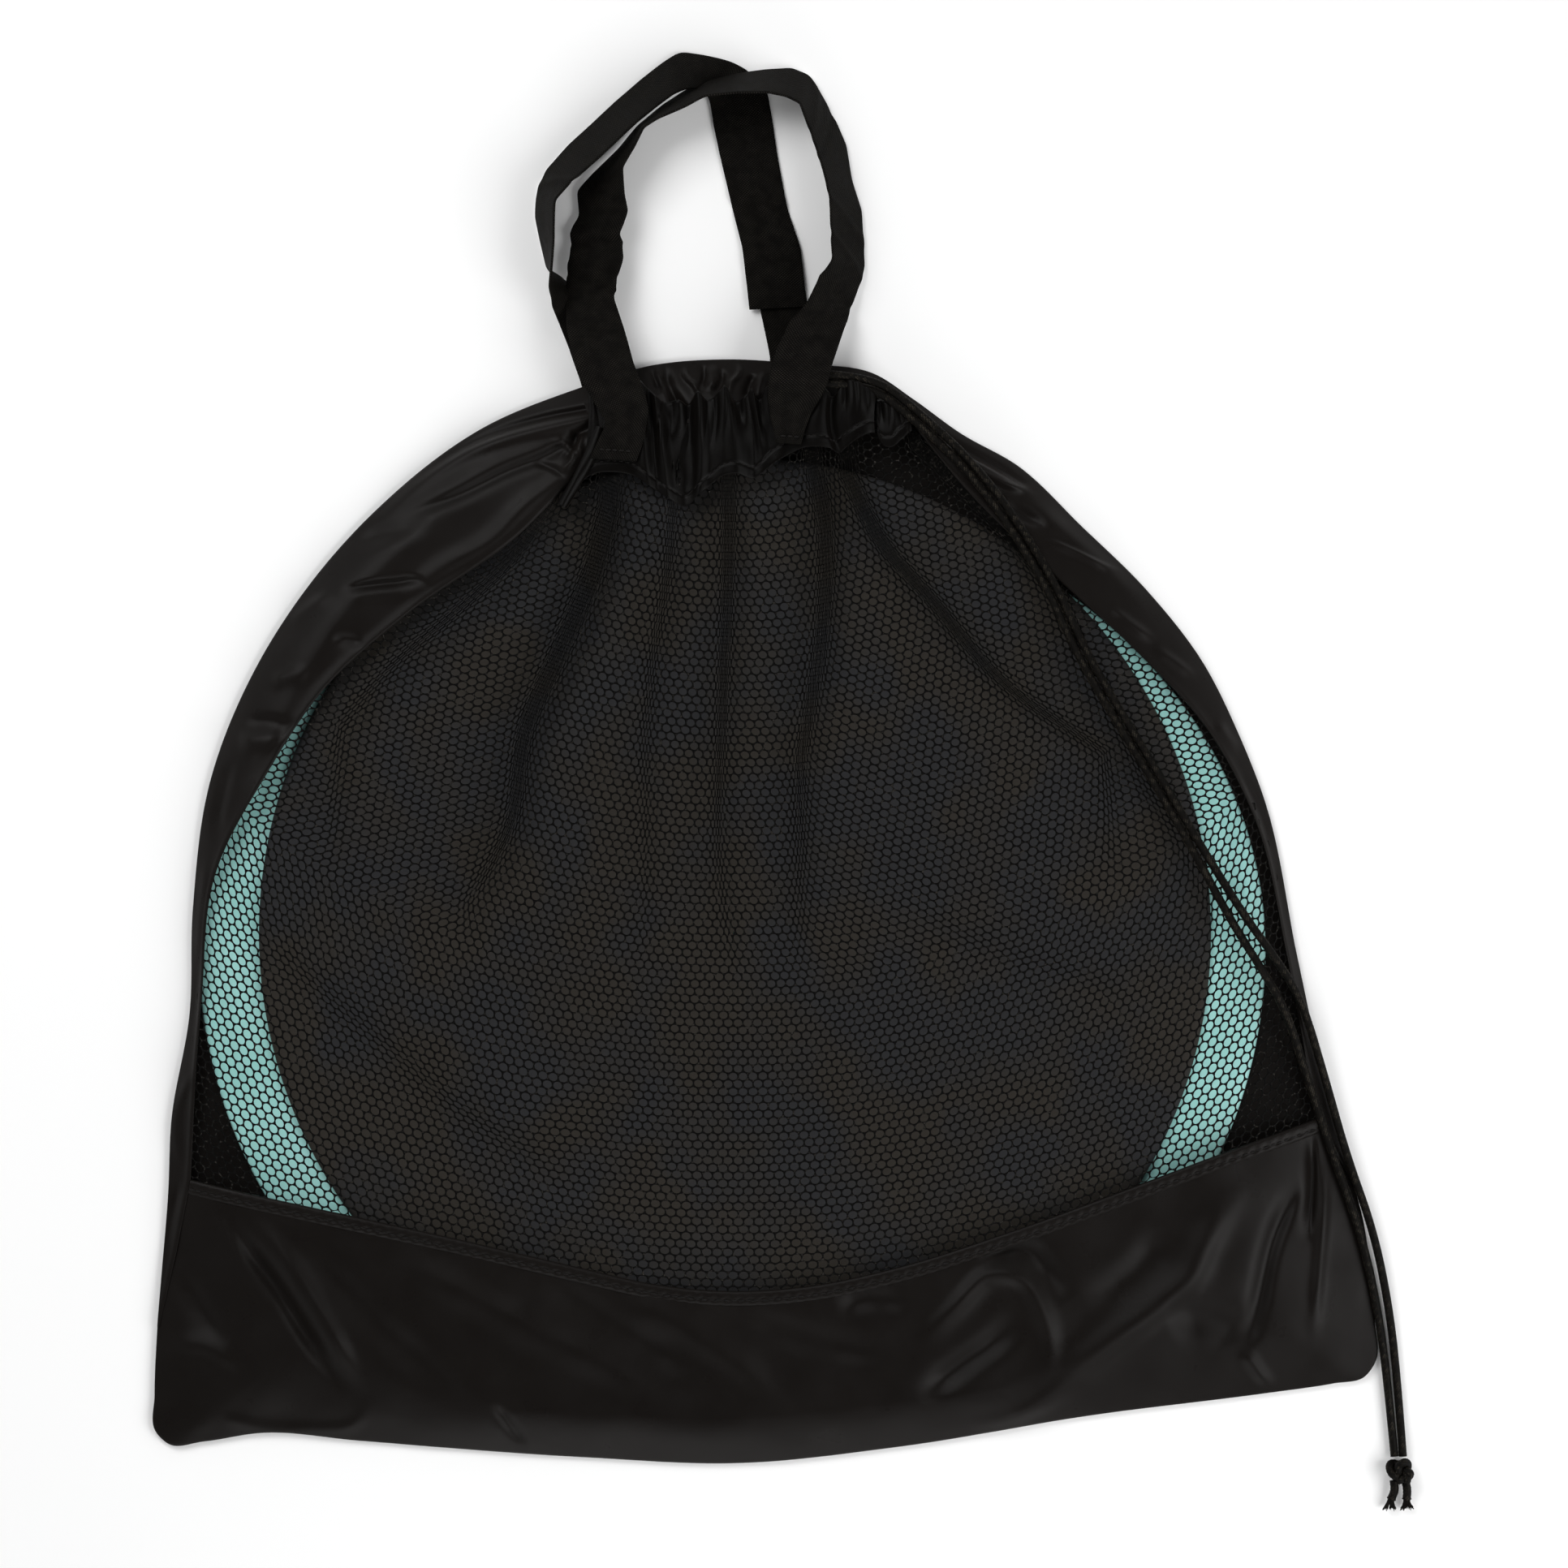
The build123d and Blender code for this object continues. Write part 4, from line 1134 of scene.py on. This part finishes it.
# Both edges of each strap as seen from above: left x, y, z and right x, y, z, looking along it
FRONT_EDGES = [
    (-78.8, 133.5, 19.4, -58, 132.1, 19.2), (-76.4, 138.6, 20, -55.4, 139, 19.6),
    (-73.6, 144.6, 20.6, -53.8, 146.2, 20.2), (-71.2, 149.4, 21.2, -52.4, 155.6, 21),
    (-74.2, 154, 20.8, -54.2, 162, 21.8), (-80.2, 164, 21.4, -57, 170, 21.8),
    (-84.6, 172.4, 21.7, -59.4, 176.4, 21.7), (-86.6, 180, 20.8, -60.6, 181, 20.8),
    (-88.9, 191, 17.2, -63.4, 191, 17.8), (-89.6, 205.3, 8.5, -68.1, 204.9, 19),
    (-88.9, 215.9, 5.8, -66.2, 214.5, 16.2), (-87.5, 224.2, 5.4, -63.7, 222.5, 13),
    (-86.8, 236, 3.4, -64.9, 234, 15.4), (-83.4, 241.2, 3.2, -61.6, 243.4, 15.2),
    (-84.3, 252.2, 2.8, -63.2, 250.5, 16), (-77, 260, 2.2, -64.2, 263, 23),
    (-66.1, 270.7, 1.8, -58.6, 272.8, 25.2), (-57.5, 281, 1.8, -54.8, 280.6, 26),
    (-46, 290.5, 2.6, -48.6, 284.6, 26.2), (-36, 297, 4, -36.5, 289.8, 27.2),
    (-26.3, 301.1, 4.4, -27.5, 294.6, 27.6), (-14, 304.2, 4.2, -13, 296, 27.2),
    (0, 306.2, 3.2, 0.4, 296, 25.6), (11, 307, 2.2, 8.6, 294.2, 23.4),
    (18.4, 303.9, 1.8, 14.6, 291.2, 22.8), (25, 293.5, 1.6, 16.6, 285.6, 22.8),
    (30.4, 283.5, 1.4, 19.4, 277.8, 22.6), (35.1, 272.7, 1.2, 22.8, 269.5, 22.6),
    (37.8, 257, 1.2, 26.1, 257, 22.4), (42, 243.6, 1.4, 28.1, 245, 21.6),
    (42.6, 232, 1.4, 28.3, 232.5, 21.4), (43.4, 218.6, 1.6, 29.2, 222, 21.6),
    (40.5, 209, 3.6, 22.6, 212.6, 20.4), (37, 199, 6.6, 17.4, 202, 20.4),
    (33.5, 188.6, 13, 9.8, 193.5, 20.2), (31, 181, 18.6, 4.6, 182.5, 21.2),
    (28.9, 175, 21.5, 1.8, 174.8, 21.7), (27.6, 168.4, 21.5, 0.5, 166.4, 21.7),
    (24.6, 161.6, 21.2, 0.5, 159, 21.2), (19.6, 153.6, 20.8, 1.4, 152.4, 20.6),
    (17, 146.6, 20.2, 2.8, 146.4, 20), (15.2, 139.6, 19.4, 4, 140.4, 19.2),
]
BACK_EDGES = [
    (-79.6, 156, 0.7, -55.6, 156, 0.7), (-83, 168, 0.7, -58.6, 168, 0.7),
    (-86.2, 177, 0.7, -61.6, 178, 0.7), (-88.2, 183, 1.2, -64.2, 184, 0.8),
    (-91.6, 191.5, 6, -69.5, 192, 0.8), (-95.9, 202.1, 17, -79.5, 205.5, 0.8),
    (-96.8, 210, 23, -88.6, 211, 0.8), (-95.8, 217.5, 25.4, -97.4, 217.5, 0.8),
    (-94.7, 230, 25, -100.6, 230, 0.9), (-94.5, 241, 24.6, -102.8, 240.9, 0.9),
    (-94.2, 248.4, 24.2, -102.4, 250, 0.9), (-88.5, 254.5, 24, -98.4, 261.4, 0.9),
    (-79, 263.2, 23.4, -88.2, 272.6, 1), (-68, 273.2, 22.6, -77.6, 282.2, 1),
    (-57.5, 283, 21.6, -67, 292.2, 1.2), (-49, 289.8, 19.6, -56.5, 301.4, 1.4),
    (-41.5, 295.4, 17.6, -46.4, 309.2, 1.4), (-36.2, 297.6, 14.6, -38.6, 314.2, 1.4),
    (-31, 297.8, 11, -27, 312.6, 1.4), (-28.4, 296.6, 6, -16.2, 310.1, 1.4),
    (-26.6, 295, 2.6, -7.2, 305.4, 1.3), (-25.3, 292, 1.6, 0.2, 296.6, 1.1),
    (-23.6, 281, 1.1, 2.6, 283, 1.1), (-21, 268.6, 1.2, 4.6, 268.6, 1.2), (-14.8, 242.3, 1, 9, 245, 1),
    (-10.9, 227, 1.6, 15, 227, 1.6), (-8.8, 209, 2.7, 17, 209, 2.7), (-7.8, 199.6, 2.8, 17.6, 201, 2.8),
]
BACK_FOLD_EDGES = [
    (17.2, 208, 1.2, -3.6, 208, 1.2), (18.4, 199, 1.1, -3, 199.4, 1.1),
    (21.4, 189, 0.9, -0.8, 189.4, 0.9), (26.4, 178.6, 0.7, 1.4, 178.6, 0.7),
    (26.2, 168, 0.7, 1, 168, 0.7), (26.2, 156, 0.7, 1, 156, 0.7),
]


def cornered_line(points, count):
    """Evenly spaced points on straight runs between the given ones, their corners just rounded."""
    place = np.concatenate([[0.0], np.cumsum(np.linalg.norm(np.diff(points[:, :3], axis=0), axis=1))])
    even = np.linspace(0, place[-1], count)
    rows = np.column_stack([np.interp(even, place, column) for column in points.T])
    for _ in range(4):
        rows[1:-1] = (rows[:-2] + 2 * rows[1:-1] + rows[2:]) / 4
    return rows


def strap(name, edges, creases=()):
    """Woven webbing between two edge lines, with thickness, rounded edges and soft creases.

    An edge list says where the camera sees each edge, so points above the bag's front are first
    moved in towards the camera by the perspective's share.
    """
    edges = np.array(edges, float)
    for start in (0, 3):
        lens = 1 - (edges[:, start + 2] - FRONT_Z) * MM / CAMERA_HEIGHT
        edges[:, start] = camera.location.x / MM * (1 - lens) + edges[:, start] * lens
        edges[:, start + 1] = camera.location.y / MM * (1 - lens) + edges[:, start + 1] * lens
    count = int(np.linalg.norm(np.diff(edges[:, :3], axis=0), axis=1).sum() / 0.9)
    rows = cornered_line(edges, count)
    left, right = rows[:, :3], rows[:, 3:]
    middle = (left + right) / 2
    place = np.concatenate([[0.0], np.cumsum(np.linalg.norm(np.diff(middle, axis=0), axis=1))])
    share = np.concatenate([[0.0, 0.012, 0.035], np.linspace(0.07, 0.93, 19), [0.965, 0.988, 1.0]])
    thick = STRAP_THICK * np.concatenate([[0.25, 0.75, 1.0], np.ones(19), [1.0, 0.75, 0.25]])
    sheet = left[:, None, :] + (right - left)[:, None, :] * share[None, :, None]
    along = np.gradient(sheet, axis=0)
    across = np.gradient(sheet, axis=1)
    normal = np.cross(across, along)
    normal /= np.maximum(np.linalg.norm(normal, axis=2), 1e-9)[..., None]
    run, cross = np.broadcast_arrays(place[:, None], share[None, :] * STRAP_WIDTH)
    lift = 0.18 * ripple(run, cross, 14)
    for at, slant, height, width in creases:
        beyond = run - at - slant * (cross - STRAP_WIDTH / 2)
        lift = lift + height * np.exp(-((beyond / width) ** 2))
    sheet = sheet + normal * lift[..., None]
    top = sheet + normal * thick[None, :, None]
    bottom = sheet - normal * thick[None, :, None]
    loop = np.concatenate([top, bottom[:, ::-1]], axis=1)
    around = loop.shape[1]
    width = np.concatenate([share, share[::-1]]) * STRAP_WIDTH
    uv = np.stack(np.broadcast_arrays(width[None, :], place[:, None]), axis=-1)
    return make_mesh(name, loop.reshape(-1, 3), tube_faces(count, around, flip=True), uv=uv.reshape(-1, 2))


# Creases across a strap: place along it, slant, height, width
FRONT_CREASES = [
    (22, 0.3, -0.8, 1.4), (30, 0.35, 0.8, 2.0), (60, -0.3, 0.7, 3.0), (85, -0.25, -1.0, 1.4),
    (90, -0.2, 0.8, 2.0), (103, 0.1, -1.0, 1.3), (107, 0.1, 1.1, 1.8), (250, 0.6, 0.4, 3.0),
    (262, 0.6, -0.4, 2.4), (300, -0.8, 0.5, 3.0), (316, -0.8, 0.6, 2.4), (334, -0.5, -0.8, 2.0),
    (352, 0.4, 0.7, 2.2),
]
BACK_CREASES = [
    (60, 0.4, 0.6, 3.0), (110, -0.4, -0.6, 2.2), (262, 0.2, -0.7, 1.8), (268, 0.2, 0.7, 2.2),
    (300, 0.3, 0.5, 3.0),
]
FRONT_SOLIDS = ["front_handle", "front_handle_tab_left", "front_handle_tab_right"]
front_strap = strap("front_handle_webbing", FRONT_EDGES, FRONT_CREASES)
finish_piece(front_strap, "webbing", None, FRONT_SOLIDS)
back_strap = strap("back_handle_webbing", BACK_EDGES, BACK_CREASES)
back_fold = strap("back_handle_folded_end", BACK_FOLD_EDGES)
finish_piece(back_strap, "webbing", None, ["back_handle", "back_handle_tab_left"])
finish_piece(back_fold, "webbing", None, ["back_handle_tab_right"])
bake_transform(front_strap)
for piece in (back_strap, back_fold):
    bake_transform(piece)
TAB_STITCHES = {
    "front_tab_left_stitches": [(-74.6, 137.2, 21.0), (-58.6, 136.2, 20.7)],
    "front_tab_right_stitches": [(5.8, 143.2, 20.8), (14.2, 142.6, 20.9)],
}
for node, line in TAB_STITCHES.items():
    row = stitch_run(node.replace("front_tab", "bar_tack"), np.array(line), 2.2, 2.9)
    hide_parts(node)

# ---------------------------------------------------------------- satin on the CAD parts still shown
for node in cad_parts.values():
    if not node.hide_render:
        node.data.materials.clear()
        node.data.materials.append(MATERIALS["satin"])
